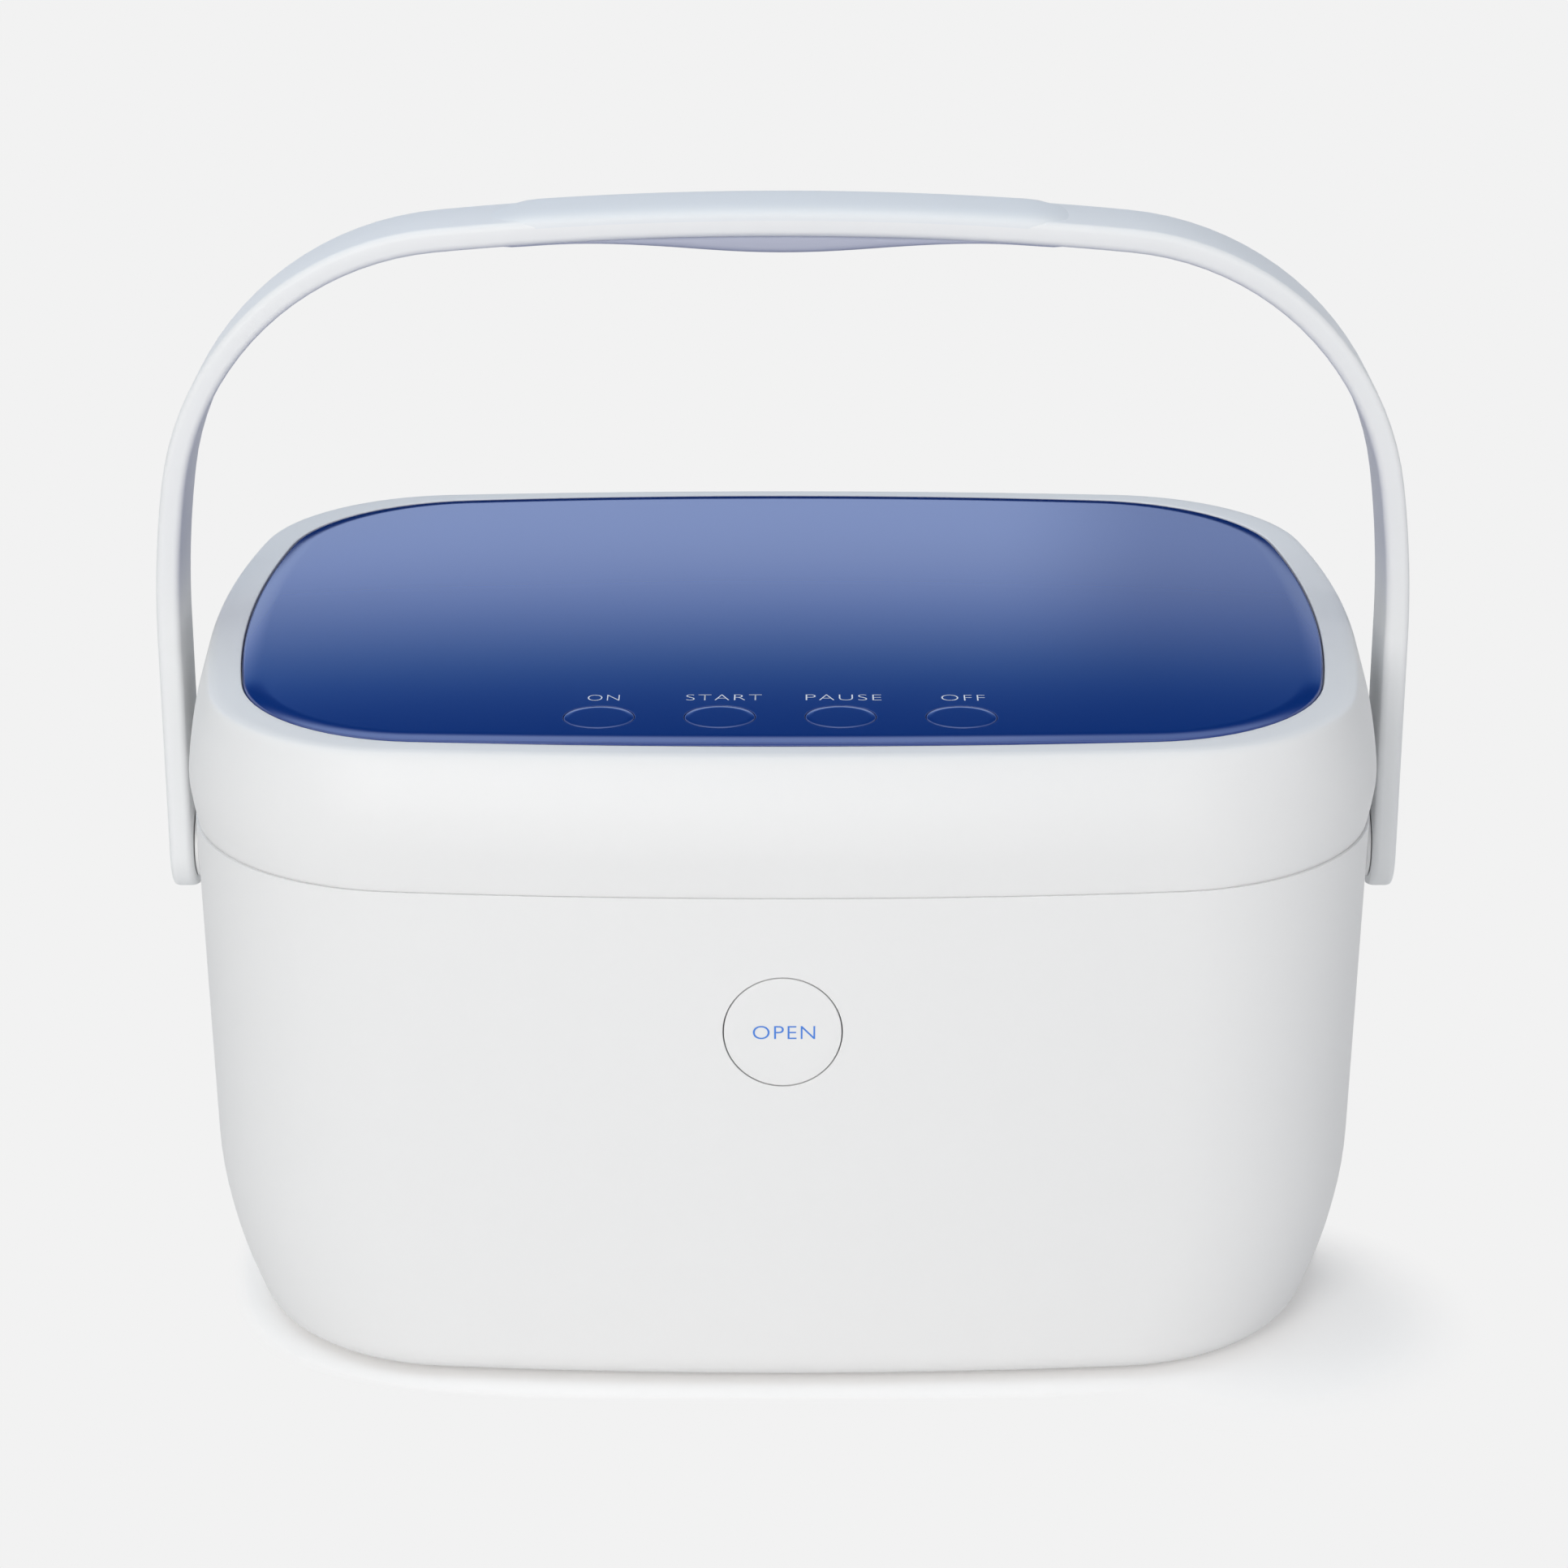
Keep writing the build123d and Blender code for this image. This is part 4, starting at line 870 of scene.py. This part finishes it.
# Steps along half the handle: its crown, shoulder, side and leg, and round the leg's end
CROWN_STEPS, SHOULDER_STEPS, SIDE_STEPS, LEG_STEPS, END_STEPS = 24, 20, 14, 8, 12
LEG_END = 0.4 * MM  # half the width that a leg's end is narrowed to
MAX_ROUND_SHARE = 0.98  # share of half the strap that its rounding may take
BLUNT_END = 0.0004  # smallest squared width of a blunt end, as a share
PAD_POWER = 3.4  # squareness of the pad's section, where 2 is an ellipse
PAD_SUNK = 1.8 * MM  # depth of the pad's flat underside in the strap
PAD_RUN_OUT = 11 * MM  # length over which the pad rises at its ends
PAD_TUCK, PAD_TUCK_REACH = 0.06 * MM, 2 * MM  # its tips dip below the strap's face
PAD_OVERLAP = 0.02 * MM  # how far it covers each side of the strap
PAD_TIP, PAD_BLUNT = 0.35, 13 * MM  # share of the width at its tips, and length of the tips
INSERT_SUNK = 0.5 * MM
INSERT_LEAST = 0.1 * MM  # depth of the insert at its tips
INSERT_RUN_OUT = 6 * MM
INSERT_TIP, INSERT_BLUNT = 0.6, 9 * MM
INSERT_ROUND = 1.6 * MM
BELLY_SHARE = 0.8  # share of the insert's length that the belly takes


def arch_line():
    """Points and outward directions along the handle's curve, from the left foot to the right."""
    h = sizes("handle_sizes")
    rise = h.top - h.side_height
    cx, cy, crown, side = corner_circle(h.half_width, rise, h.shoulder, h.crown, h.side)
    arcs = (
        (0.0, h.crown - rise, h.crown, evenly(-QUARTER_TURN, crown, CROWN_STEPS)),
        (cx, cy, h.shoulder, evenly(crown, side, SHOULDER_STEPS)[1:]),
        (h.half_width - h.side, 0.0, h.side, evenly(side, 0.0, SIDE_STEPS)[1:]),
    )
    right = []
    for x, y, radius, angles in arcs:
        for angle in angles:
            across, up = math.cos(angle), math.sin(angle)
            point = Vector((x + radius * across, 0, h.side_height - (y + radius * up)))
            right.append((point, Vector((across, 0, -up))))
    heights = evenly(h.side_height, h.pivot, LEG_STEPS)[1:]
    for turn in evenly(0.0, QUARTER_TURN, END_STEPS)[1:]:
        heights.append(h.pivot - h.width / 2 * math.sin(turn))
    right += [(Vector((h.half_width, 0, z)), Vector((1, 0, 0))) for z in heights]
    left = [(Vector((-p.x, 0, p.z)), Vector((-n.x, 0, n.z))) for p, n in reversed(right[1:])]
    return left + right


def strap_section(point, normal, width, thick, rounding_radius, count=6):
    """Rounded rectangle across the strap: outer face at the point, thickness inwards."""
    radius = min(rounding_radius, width / 2 * MAX_ROUND_SHARE, thick / 2 * MAX_ROUND_SHARE)
    points = []
    for quarter, (side, outer) in enumerate(((-1, True), (1, True), (1, False), (-1, False))):
        start = QUARTER_TURN * (1 - quarter) + QUARTER_TURN
        centre_y = side * (width / 2 - radius)
        centre_d = -radius if outer else -thick + radius
        for angle in evenly(start, start - QUARTER_TURN, count):
            y = centre_y + radius * math.cos(angle)
            d = centre_d + radius * math.sin(angle)
            points.append(point + normal * d + Vector((0, y, 0)))
    return points


def handle_strap():
    """The bowed strap with round ends."""
    h = sizes("handle_sizes")
    rings = []
    for point, normal in arch_line():
        under = h.pivot - point.z
        width = h.width
        if under > 0:
            width = 2 * math.sqrt(max((h.width / 2) ** 2 - under ** 2, LEG_END ** 2))
        rings.append(strap_section(point, normal, width, h.thick, h.round))
    return wrapped("handle_strap", capped(rings))


def crown_stations(inset, half, count=48):
    """Points, directions and shares from -1 to 1 along the crown between two ends."""
    h = sizes("handle_sizes")
    radius = h.crown - inset
    reach = math.asin(half / radius)
    stations = []
    for share in evenly(-1.0, 1.0, count):
        across, up = math.sin(reach * share), math.cos(reach * share)
        point = Vector((radius * across, 0, h.top - inset - radius * (1 - up)))
        stations.append((point, Vector((across, 0, up)), share))
    return stations


def blunt(share, half, reach, tip):
    """Width factor that rounds the plan of a long pad near its ends, down to tip."""
    away = (1 - abs(share)) * half
    if away >= reach:
        return 1.0
    return tip + (1 - tip) * math.sqrt(max(1 - (1 - away / reach) ** 2, BLUNT_END))


def ease(share, half, reach):
    """Height factor that runs out gently towards the ends."""
    away = min((1 - abs(share)) * half / reach, 1.0)
    return away * away * (3 - 2 * away)


def pillow_section(point, normal, half, rise, count=28):
    """Cross-section of a pillow: a swelling top over a flat underside sunk into the strap."""
    points = []
    for angle in evenly(0.0, math.pi, count):
        across = math.cos(angle)
        y = half * math.copysign(abs(across) ** (2 / PAD_POWER), across)
        d = (rise + PAD_SUNK) * math.sin(angle) ** (2 / PAD_POWER) - PAD_SUNK
        points.append(point + normal * d + Vector((0, y, 0)))
    return points


def grip_pad():
    """Pillow-like pad on top of the crown, as wide as the strap, running out at both ends."""
    h = sizes("handle_sizes")
    half = h.grip / 2
    rings = []
    for point, normal, t in crown_stations(0.0, half):
        rise = h.pad_rise * ease(t, half, PAD_RUN_OUT)
        rise -= PAD_TUCK * (1 - ease(t, half, PAD_TUCK_REACH))
        width = (h.width / 2 + PAD_OVERLAP) * blunt(t, half, PAD_BLUNT, PAD_TIP)
        rings.append(pillow_section(point, normal, width, rise))
    return wrapped("grip_cushion", capped(rings))


def grip_insert():
    """Insert under the crown with a belly in the middle."""
    h = sizes("handle_sizes")
    half = h.grip / 2
    rings = []
    for point, normal, t in crown_stations(h.thick, half):
        swell = 0.5 + 0.5 * math.cos(math.pi * min(abs(t) / BELLY_SHARE, 1.0))
        deep = h.insert_thick * ease(t, half, INSERT_RUN_OUT) + h.belly * swell + INSERT_LEAST
        width = h.insert_width * blunt(t, half, INSERT_BLUNT, INSERT_TIP)
        rings.append(strap_section(point + normal * INSERT_SUNK, normal, width,
                                   deep + INSERT_SUNK, INSERT_ROUND))
    return wrapped("grip_underside", capped(rings))


# Words

WORD_HEIGHT, WORD_THINNING = 3.9 * MM, 0.12 * MM  # on the panel
WORD_UP = 13.1 * MM  # how far the words stand behind the row of buttons
OPEN_WIDTH, OPEN_HEIGHT, OPEN_THINNING = 14.7 * MM, 3.45 * MM, 0.04 * MM  # on the button
OPEN_X = 0.3 * MM
FONT_OVER_CAPITALS = 1.4  # size of the font over the height of its capitals
LETTER_SPACING = 1.12
INK_PROUD = 0.03 * MM  # how far the ink stands off the face, so that both don't coincide


def word_mesh(name, text, width, height, thin, place, turn):
    """Printed word as a thin mesh of a given width and height, its strokes thinned by thin."""
    deselect()
    bpy.ops.object.text_add(location=(0, 0, 0))
    obj = bpy.context.object
    obj.name = name
    obj.data.body = text
    obj.data.size = FONT_OVER_CAPITALS * height
    obj.data.space_character = LETTER_SPACING
    obj.data.offset = -thin
    obj.data.resolution_u = 6
    bpy.ops.object.convert(target="MESH")
    obj = bpy.context.object
    corners = [Vector(c) for c in obj.bound_box]
    low, high = corners[0], corners[6]
    for vertex in obj.data.vertices:
        vertex.co.x = ((vertex.co.x - low.x) / (high.x - low.x) - 0.5) * width
        vertex.co.y = ((vertex.co.y - low.y) / (high.y - low.y) - 0.5) * height
    obj.rotation_euler = turn
    obj.location = place
    bpy.ops.object.transform_apply(location=True, rotation=True, scale=True)
    return obj


# Operators

SOCKET_CUT = 12 * MM  # length of the cutter for the charging inlet
RELEASE_GAP_SHARE = 0.7  # share of the gap that shows round the release button
RELEASE_MOUTH = 0.2 * MM  # rounding of its hole
BOSS_LENGTH, BOSS_EDGE = 8 * MM, 0.5 * MM


class MakeBase(bpy.types.Operator):
    """Model the base's shell with its pivot bosses and hinge arms"""

    bl_idname = "sanitizer.base"
    bl_label = "Base shell"

    def execute(self, context):
        s = sizes("shell_sizes")
        r = sizes("release_sizes")
        h = sizes("handle_sizes")
        skin = base_skin()
        reach = r.radius + RELEASE_GAP_SHARE * r.gap
        cut(skin, wrapped("hole", hole_rings(release_ring, reach, RELEASE_MOUTH)))
        cut(skin, cylinder("hole", s.socket, SOCKET_CUT, (0, s.half_depth, s.socket_z), "Y", 48))
        cut(skin, cover_recess())
        even_shading(skin)
        white = moulded_abs("satin_moulded_abs", finish_colour("shell"))
        finish_piece(skin, white, "base", ["base_shell"])
        for name, side in (("left", -1), ("right", 1)):
            centre = (side * (h.boss_face - BOSS_LENGTH / 2), 0, h.pivot)
            boss = cylinder("pivot_boss_" + name, h.boss, BOSS_LENGTH, centre, "X", 48)
            boss.modifiers.new("edge", "BEVEL").width = BOSS_EDGE
            apply_modifiers(boss)
            smooth(boss)
            finish_piece(boss, white, "base")
        # One arm stands on either side of the lid's arm at each hinge
        reach = s.knuckle * 1.5 + KNUCKLE_GAP
        starts = [hinge + way for hinge in (-s.hinge_x, s.hinge_x)
                  for way in (-reach, reach - s.knuckle)]
        for i, start in enumerate(starts, 1):
            arm = knuckle_piece("base_knuckle_%d" % i, "base", start)
            finish_piece(arm, white, "base")
        return {"FINISHED"}


class MakeLid(bpy.types.Operator):
    """Model the lid's frame, the blue panel and the push buttons"""

    bl_idname = "sanitizer.lid"
    bl_label = "Lid, panel and buttons"

    def execute(self, context):
        s = sizes("shell_sizes")
        white = bpy.data.materials["satin_moulded_abs"]
        blue = gloss_acrylic("polished_blue_acrylic", finish_colour("panel"))
        finish_piece(lid_skin(), white, "lid", ["lid_shell"])
        for side, hinge in (("left", -s.hinge_x), ("right", s.hinge_x)):
            arm = knuckle_piece("lid_knuckle_" + side, "lid", hinge - s.knuckle / 2)
            finish_piece(arm, white, "lid")
        finish_piece(panel_skin(), blue, "lid", ["lid_panel"])
        for i, (text, _, _) in enumerate(BUTTON_WORDS):
            word = text.lower()
            cap = push_button("cap_" + word, i)
            finish_piece(cap, blue, "button_" + word, ["button_" + word])
        return {"FINISHED"}


class MakeRelease(bpy.types.Operator):
    """Model the release button"""

    bl_idname = "sanitizer.release"
    bl_label = "Release button"

    def execute(self, context):
        white = bpy.data.materials["satin_moulded_abs"]
        finish_piece(release_cap(), white, "open_button", ["open_button"])
        return {"FINISHED"}


class MakeHandle(bpy.types.Operator):
    """Model the carry handle with its grip"""

    bl_idname = "sanitizer.handle"
    bl_label = "Carry handle"

    def execute(self, context):
        strap = moulded_abs("satin_moulded_abs_handle", finish_colour("handle"))
        finish_piece(handle_strap(), strap, "handle", ["handle_bail"])
        pad = soft_elastomer("moulded_grip_elastomer", finish_colour("grip"))
        finish_piece(grip_pad(), pad, "handle", ["grip_pad"])
        # The insert's colour carries painted shade: darker than its own bluish grey, to stand for
        # the shaded underside of the grip
        under = moulded_abs("satin_insert_abs", finish_colour("insert"))
        finish_piece(grip_insert(), under, "handle", ["grip_insert"])
        return {"FINISHED"}


class MakeWords(bpy.types.Operator):
    """Print the generic words by the buttons"""

    bl_idname = "sanitizer.words"
    bl_label = "Printed words"

    def execute(self, context):
        p = sizes("panel_sizes")
        r = sizes("release_sizes")
        white = printed_ink("white_pad_print", finish_colour("white_ink"))
        blue = printed_ink("blue_pad_print", finish_colour("blue_ink"))
        for text, x, width in BUTTON_WORDS:
            word = word_mesh("word_" + text.lower(), text, width * MM, WORD_HEIGHT, WORD_THINNING,
                             (x * MM, p.button_y + WORD_UP, 0), (0, 0, 0))
            for v in word.data.vertices:
                v.co.z = panel_height(v.co.x, v.co.y) + INK_PROUD
            finish_piece(word, white, "lid")
        word = word_mesh("word_open", "OPEN", OPEN_WIDTH, OPEN_HEIGHT, OPEN_THINNING,
                         (OPEN_X, 0, r.height), (QUARTER_TURN, 0, 0))
        for v in word.data.vertices:
            v.co.y = front_y(v.co.x, v.co.z) - INK_PROUD
        finish_piece(word, blue, "open_button")
        return {"FINISHED"}


class FinishFittings(bpy.types.Operator):
    """Give the fittings, the liner and the inner parts their materials"""

    bl_idname = "sanitizer.fittings"
    bl_label = "Fittings and inner parts"

    def execute(self, context):
        white = bpy.data.materials["satin_moulded_abs"]
        rubber = soft_elastomer("moulded_silicone_rubber", finish_colour("rubber"))
        liner = polished_aluminium("bright_rolled_aluminium", finish_colour("liner"))
        steel = drawn_steel("drawn_stainless_steel", finish_colour("steel"))
        nylon = moulded_abs("natural_moulded_nylon", linear("#DAD8CF"), (0.45, 0.55))
        quartz = clear_quartz("clear_fused_quartz")
        board = circuit_board("solder_mask_glass_epoxy")
        sleeve = soft_elastomer("blue_shrink_sleeve", linear("#2A4A8C"))
        black = moulded_abs("black_moulded_nylon", linear("#17181A"), (0.4, 0.5))
        groups = [
            (white, ("bottom_cover", "pivot_washers")),
            (rubber, ("rubber_feet", "rim_gasket", "switch_mat")),
            (liner, ("inner_tub", "lid_liner")),
            (steel, ("wire_rack", "hinge_pins", "pivot_pins", "bottom_screws", "liner_screws",
                     "open_spring")),
            (nylon, ("button_guide", "latch_slider", "lid_strike")),
            (quartz, ("base_lamp_window", "lid_lamp_window")),
            (board, ("base_lamp_board", "lid_lamp_board", "main_board", "control_board")),
            (sleeve, ("battery_pack",)),
            (black, ("dc_socket",)),
        ]
        for material, names in groups:
            for name in names:
                finish_node(name, material)
        return {"FINISHED"}


# Studio, in metres, watts and degrees

# Name, place, target, size, power and colour of each lamp
LAMPS = (
    ("key_softbox", (-0.98, -2.35, 1.15), (0, 0, 0.1), (1.1, 1.3), 26.0, "#FFFCF9"),
    ("front_softbox", (-0.05, -2.52, 0.62), (0, 0, 0.1), (1.7, 1.0), 14.5, "#FFFFFE"),
    ("top_softbox", (-0.45, 0.15, 2.2), (0, 0, 0.1), (2.4, 2.4), 28.0, "#E6F1F9"),
    ("right_softbox", (2.2, -0.6, 0.9), (0, 0, 0.12), (1.0, 1.2), 8.0, "#F8F9FF"),
)
FLOOR_SIZE = 40
PAPER = "#F8F7F6"
PAPER_GLOW = 0.19  # light that the paper adds near the object
NEAR_PLAN = (("X", 0.137), ("Y", 0.1105))  # half the plan inside which the paper shows itself
NEAR_POWER, NEAR_END = 4.0, 1.18  # squareness of that plan, and where it has faded out
SHADOW_PLACE, SHADOW_REACH = (0.118, -0.072, 0.0), (0.026, 0.06)  # the corner that holds a shadow
ROOM_LIGHT, ROOM_STRENGTH, ROOM_SEEN = "#F0F1F4", 0.2, "#F2F2F2"
CARD_PLACE, CARD_SIZE = (0, 2.2, 1.35), (3.2, 2.2, 1)
# Shades of the card: the coordinate each follows, where it starts and ends, and its two values
CARD_SHADES = {
    "rise": ("up", 0.63, 0.71, 0.0, 1.0),
    "high": ("up", 1.25, 1.6, 0.0, 1.0),
    "right": ("along", 0.17, 0.33, 1.0, 0.7),
    "wings": ("aside", 0.75, 1.15, 0.0, 1.0),
}
# Red, green and blue band of the card: where it starts and ends to fade upwards, and its strength
CARD_BAND = (("X", 0.84, 0.985, 1.06), ("Y", 0.84, 1.012, 1.31), ("Z", 0.86, 1.035, 1.9))
HIGH_SHARE, WING_SHARE = 1.15, 0.8  # strength of the card's top and wings over the band's
CAMERA_PLACE, CAMERA_DOWN = (0.0003, -1.0002, 0.4987), 20.91
CAMERA_LENS, CAMERA_SENSOR, CAMERA_END = 95.0, 36.0, 100  # the first two in millimetres


def area_lamp(scene, name, place, target, size, power, tint):
    """Soft rectangular lamp that the camera doesn't see."""
    data = bpy.data.lights.new(name, "AREA")
    data.shape = "RECTANGLE"
    data.size, data.size_y = size
    data.energy = power
    data.color = linear(tint)[:3]
    lamp = bpy.data.objects.new(name, data)
    lamp.location = place
    lamp.rotation_euler = (Vector(target) - Vector(place)).to_track_quat("-Z", "Y").to_euler()
    lamp.visible_camera = False
    scene.collection.objects.link(lamp)


def seen_directly(owner):
    """1 for rays from the camera, a mirror or clear glass, else 0."""
    path = add_node(owner, "ShaderNodeLightPath")
    either = add_node(owner, "ShaderNodeMath", links={0: path.outputs["Is Camera Ray"],
                                                      1: path.outputs["Is Glossy Ray"]},
                      operation="MAXIMUM")
    return add_node(owner, "ShaderNodeMath", links={0: either.outputs[0],
                                                    1: path.outputs["Is Transmission Ray"]},
                    operation="MAXIMUM").outputs[0]


def studio_floor(name, tint):
    """Matt paper floor: pale where it is seen, with the object's own shadow near the object."""
    material = emptied(bpy.data.materials.new(name))
    paper = add_node(material, "ShaderNodeBsdfDiffuse", {"Color": linear(PAPER)})
    glow = add_node(material, "ShaderNodeEmission", {"Color": tint, "Strength": PAPER_GLOW})
    near = add_node(material, "ShaderNodeAddShader", links={0: paper.outputs[0],
                                                            1: glow.outputs[0]})
    far = add_node(material, "ShaderNodeEmission", {"Color": tint, "Strength": 1.0})
    place = add_node(material, "ShaderNodeTexCoord").outputs["Object"]
    sides = add_node(material, "ShaderNodeSeparateXYZ", links={"Vector": place})
    powers = {}
    for i, (axis, reach) in enumerate(NEAR_PLAN):
        part = add_node(material, "ShaderNodeMath", {1: reach}, {0: sides.outputs[axis]},
                        operation="DIVIDE")
        powers[i] = add_node(material, "ShaderNodeMath", {1: NEAR_POWER}, {0: part.outputs[0]},
                             operation="POWER").outputs[0]
    total = add_node(material, "ShaderNodeMath", links=powers, operation="ADD")
    contact = add_node(material, "ShaderNodeMapRange", {"From Min": 1.0, "From Max": NEAR_END},
                       {"Value": total.outputs[0]}, interpolation_type="SMOOTHSTEP")
    away = add_node(material, "ShaderNodeVectorMath", {1: SHADOW_PLACE}, {0: place},
                    operation="DISTANCE")
    corner = add_node(material, "ShaderNodeMapRange", dict(zip(("From Min", "From Max"),
                                                               SHADOW_REACH)),
                      {"Value": away.outputs["Value"]}, interpolation_type="SMOOTHSTEP")
    blend = add_node(material, "ShaderNodeMath", links={0: contact.outputs["Result"],
                                                        1: corner.outputs["Result"]},
                     operation="MINIMUM")
    seen = add_node(material, "ShaderNodeMixShader", links={0: blend.outputs[0],
                                                            1: near.outputs[0],
                                                            2: far.outputs[0]})
    pick = add_node(material, "ShaderNodeMixShader", links={0: seen_directly(material),
                                                            1: paper.outputs[0],
                                                            2: seen.outputs[0]})
    add_node(material, "ShaderNodeOutputMaterial", links={"Surface": pick.outputs[0]})
    return material


def glowing_card(name):
    """Lit card that the panel mirrors: a glowing band with soft edges, wings and a bright top."""
    material = emptied(bpy.data.materials.new(name))
    place = add_node(material, "ShaderNodeTexCoord").outputs["Object"]
    parts = add_node(material, "ShaderNodeSeparateXYZ", links={"Vector": place}).outputs
    aside = add_node(material, "ShaderNodeMath", links={0: parts["X"]}, operation="ABSOLUTE")
    sources = {"up": parts["Z"], "along": parts["X"], "aside": aside.outputs[0]}
    shades = {}
    for shade, (source, start, end, first, last) in CARD_SHADES.items():
        shades[shade] = add_node(material, "ShaderNodeMapRange",
                                 {"From Min": start, "From Max": end, "To Min": first,
                                  "To Max": last},
                                 {"Value": sources[source]},
                                 interpolation_type="SMOOTHSTEP").outputs["Result"]
    tint = add_node(material, "ShaderNodeCombineXYZ")
    for channel, start, end, strength in CARD_BAND:
        fade = add_node(material, "ShaderNodeMapRange",
                        {"From Min": start, "From Max": end, "To Min": strength, "To Max": 0.0},
                        {"Value": parts["Z"]})
        band = add_node(material, "ShaderNodeMath", links={0: fade.outputs["Result"],
                                                           1: shades["rise"]},
                        operation="MULTIPLY")
        both = add_node(material, "ShaderNodeMath", {1: HIGH_SHARE * strength},
                        {0: shades["high"], 2: band.outputs[0]}, operation="MULTIPLY_ADD")
        wing = add_node(material, "ShaderNodeMath", {1: WING_SHARE * strength},
                        {0: shades["wings"]}, operation="MULTIPLY")
        most = add_node(material, "ShaderNodeMath", links={0: both.outputs[0],
                                                           1: wing.outputs[0]},
                        operation="MAXIMUM")
        join(material, most.outputs[0], tint, channel)
    glow = add_node(material, "ShaderNodeEmission", links={"Color": tint.outputs[0],
                                                          "Strength": shades["right"]})
    add_node(material, "ShaderNodeOutputMaterial", links={"Surface": glow.outputs[0]})
    return material


def studio_world(name):
    """Even, slightly cool room light, with a pale background where it is seen."""
    world = emptied(bpy.data.worlds.new(name))
    room = add_node(world, "ShaderNodeBackground", {"Color": linear(ROOM_LIGHT),
                                                    "Strength": ROOM_STRENGTH})
    seen = add_node(world, "ShaderNodeBackground", {"Color": linear(ROOM_SEEN), "Strength": 1.0})
    pick = add_node(world, "ShaderNodeMixShader", links={0: seen_directly(world),
                                                         1: room.outputs[0],
                                                         2: seen.outputs[0]})
    add_node(world, "ShaderNodeOutputWorld", links={"Surface": pick.outputs[0]})
    return world


def studio_camera(name):
    """Camera that stands where the photograph was taken."""
    data = bpy.data.cameras.new(name)
    data.lens = CAMERA_LENS
    data.sensor_width = CAMERA_SENSOR
    data.clip_end = CAMERA_END
    camera = bpy.data.objects.new(name, data)
    camera.location = CAMERA_PLACE
    camera.rotation_euler = (math.radians(90 - CAMERA_DOWN), 0, 0)
    return camera


class SetStage(bpy.types.Operator):
    """Lay the floor, light the studio and place the camera"""

    bl_idname = "sanitizer.stage"
    bl_label = "Studio and camera"

    def execute(self, context):
        scene = context.scene
        deselect()
        bpy.ops.mesh.primitive_plane_add(size=FLOOR_SIZE)
        floor = context.object
        floor.name = "floor"
        floor.data.materials.append(studio_floor("matt_studio_floor", finish_colour("floor")))
        scene.world = studio_world("studio_world")
        for lamp in LAMPS:
            area_lamp(scene, *lamp)
        deselect()
        bpy.ops.mesh.primitive_plane_add(size=1, location=CARD_PLACE,
                                         rotation=(QUARTER_TURN, 0, 0))
        card = context.object
        card.name = "gradient_card"
        card.scale = CARD_SIZE
        bpy.ops.object.transform_apply(location=True, rotation=True, scale=True)
        card.data.materials.append(glowing_card("gradient_card_light"))
        card.visible_camera = False
        card.visible_diffuse = False
        card.visible_shadow = False
        scene.camera = studio_camera("camera")
        scene.collection.objects.link(scene.camera)
        scene.view_settings.view_transform = "Standard"
        return {"FINISHED"}


STEPS = (MakeBase, MakeLid, MakeRelease, MakeHandle, MakeWords, FinishFittings, SetStage)


class SanitizerPanel(bpy.types.Panel):
    """Sidebar panel that lists the steps"""

    bl_idname = "VIEW3D_PT_sanitizer"
    bl_label = "Sanitizer box"
    bl_space_type = "VIEW_3D"
    bl_region_type = "UI"
    bl_category = "Sanitizer"

    def draw(self, context):
        for step in STEPS:
            self.layout.operator(step.bl_idname)


CLASSES = tuple(SIZE_GROUPS.values()) + STEPS + (SanitizerPanel,)


def register():
    """Registers the classes and hangs the groups of sizes on the scene."""
    for cls in CLASSES:
        bpy.utils.register_class(cls)
    for name, cls in SIZE_GROUPS.items():
        setattr(bpy.types.Scene, name, bpy.props.PointerProperty(type=cls))


def unregister():
    """Takes the groups of sizes and the classes away."""
    for name in SIZE_GROUPS:
        delattr(bpy.types.Scene, name)
    for cls in reversed(CLASSES):
        bpy.utils.unregister_class(cls)


def main():
    """Builds the whole scene."""
    register()
    for step in STEPS:
        group, action = step.bl_idname.split(".")
        getattr(getattr(bpy.ops, group), action)()


if __name__ == "__main__":
    main()
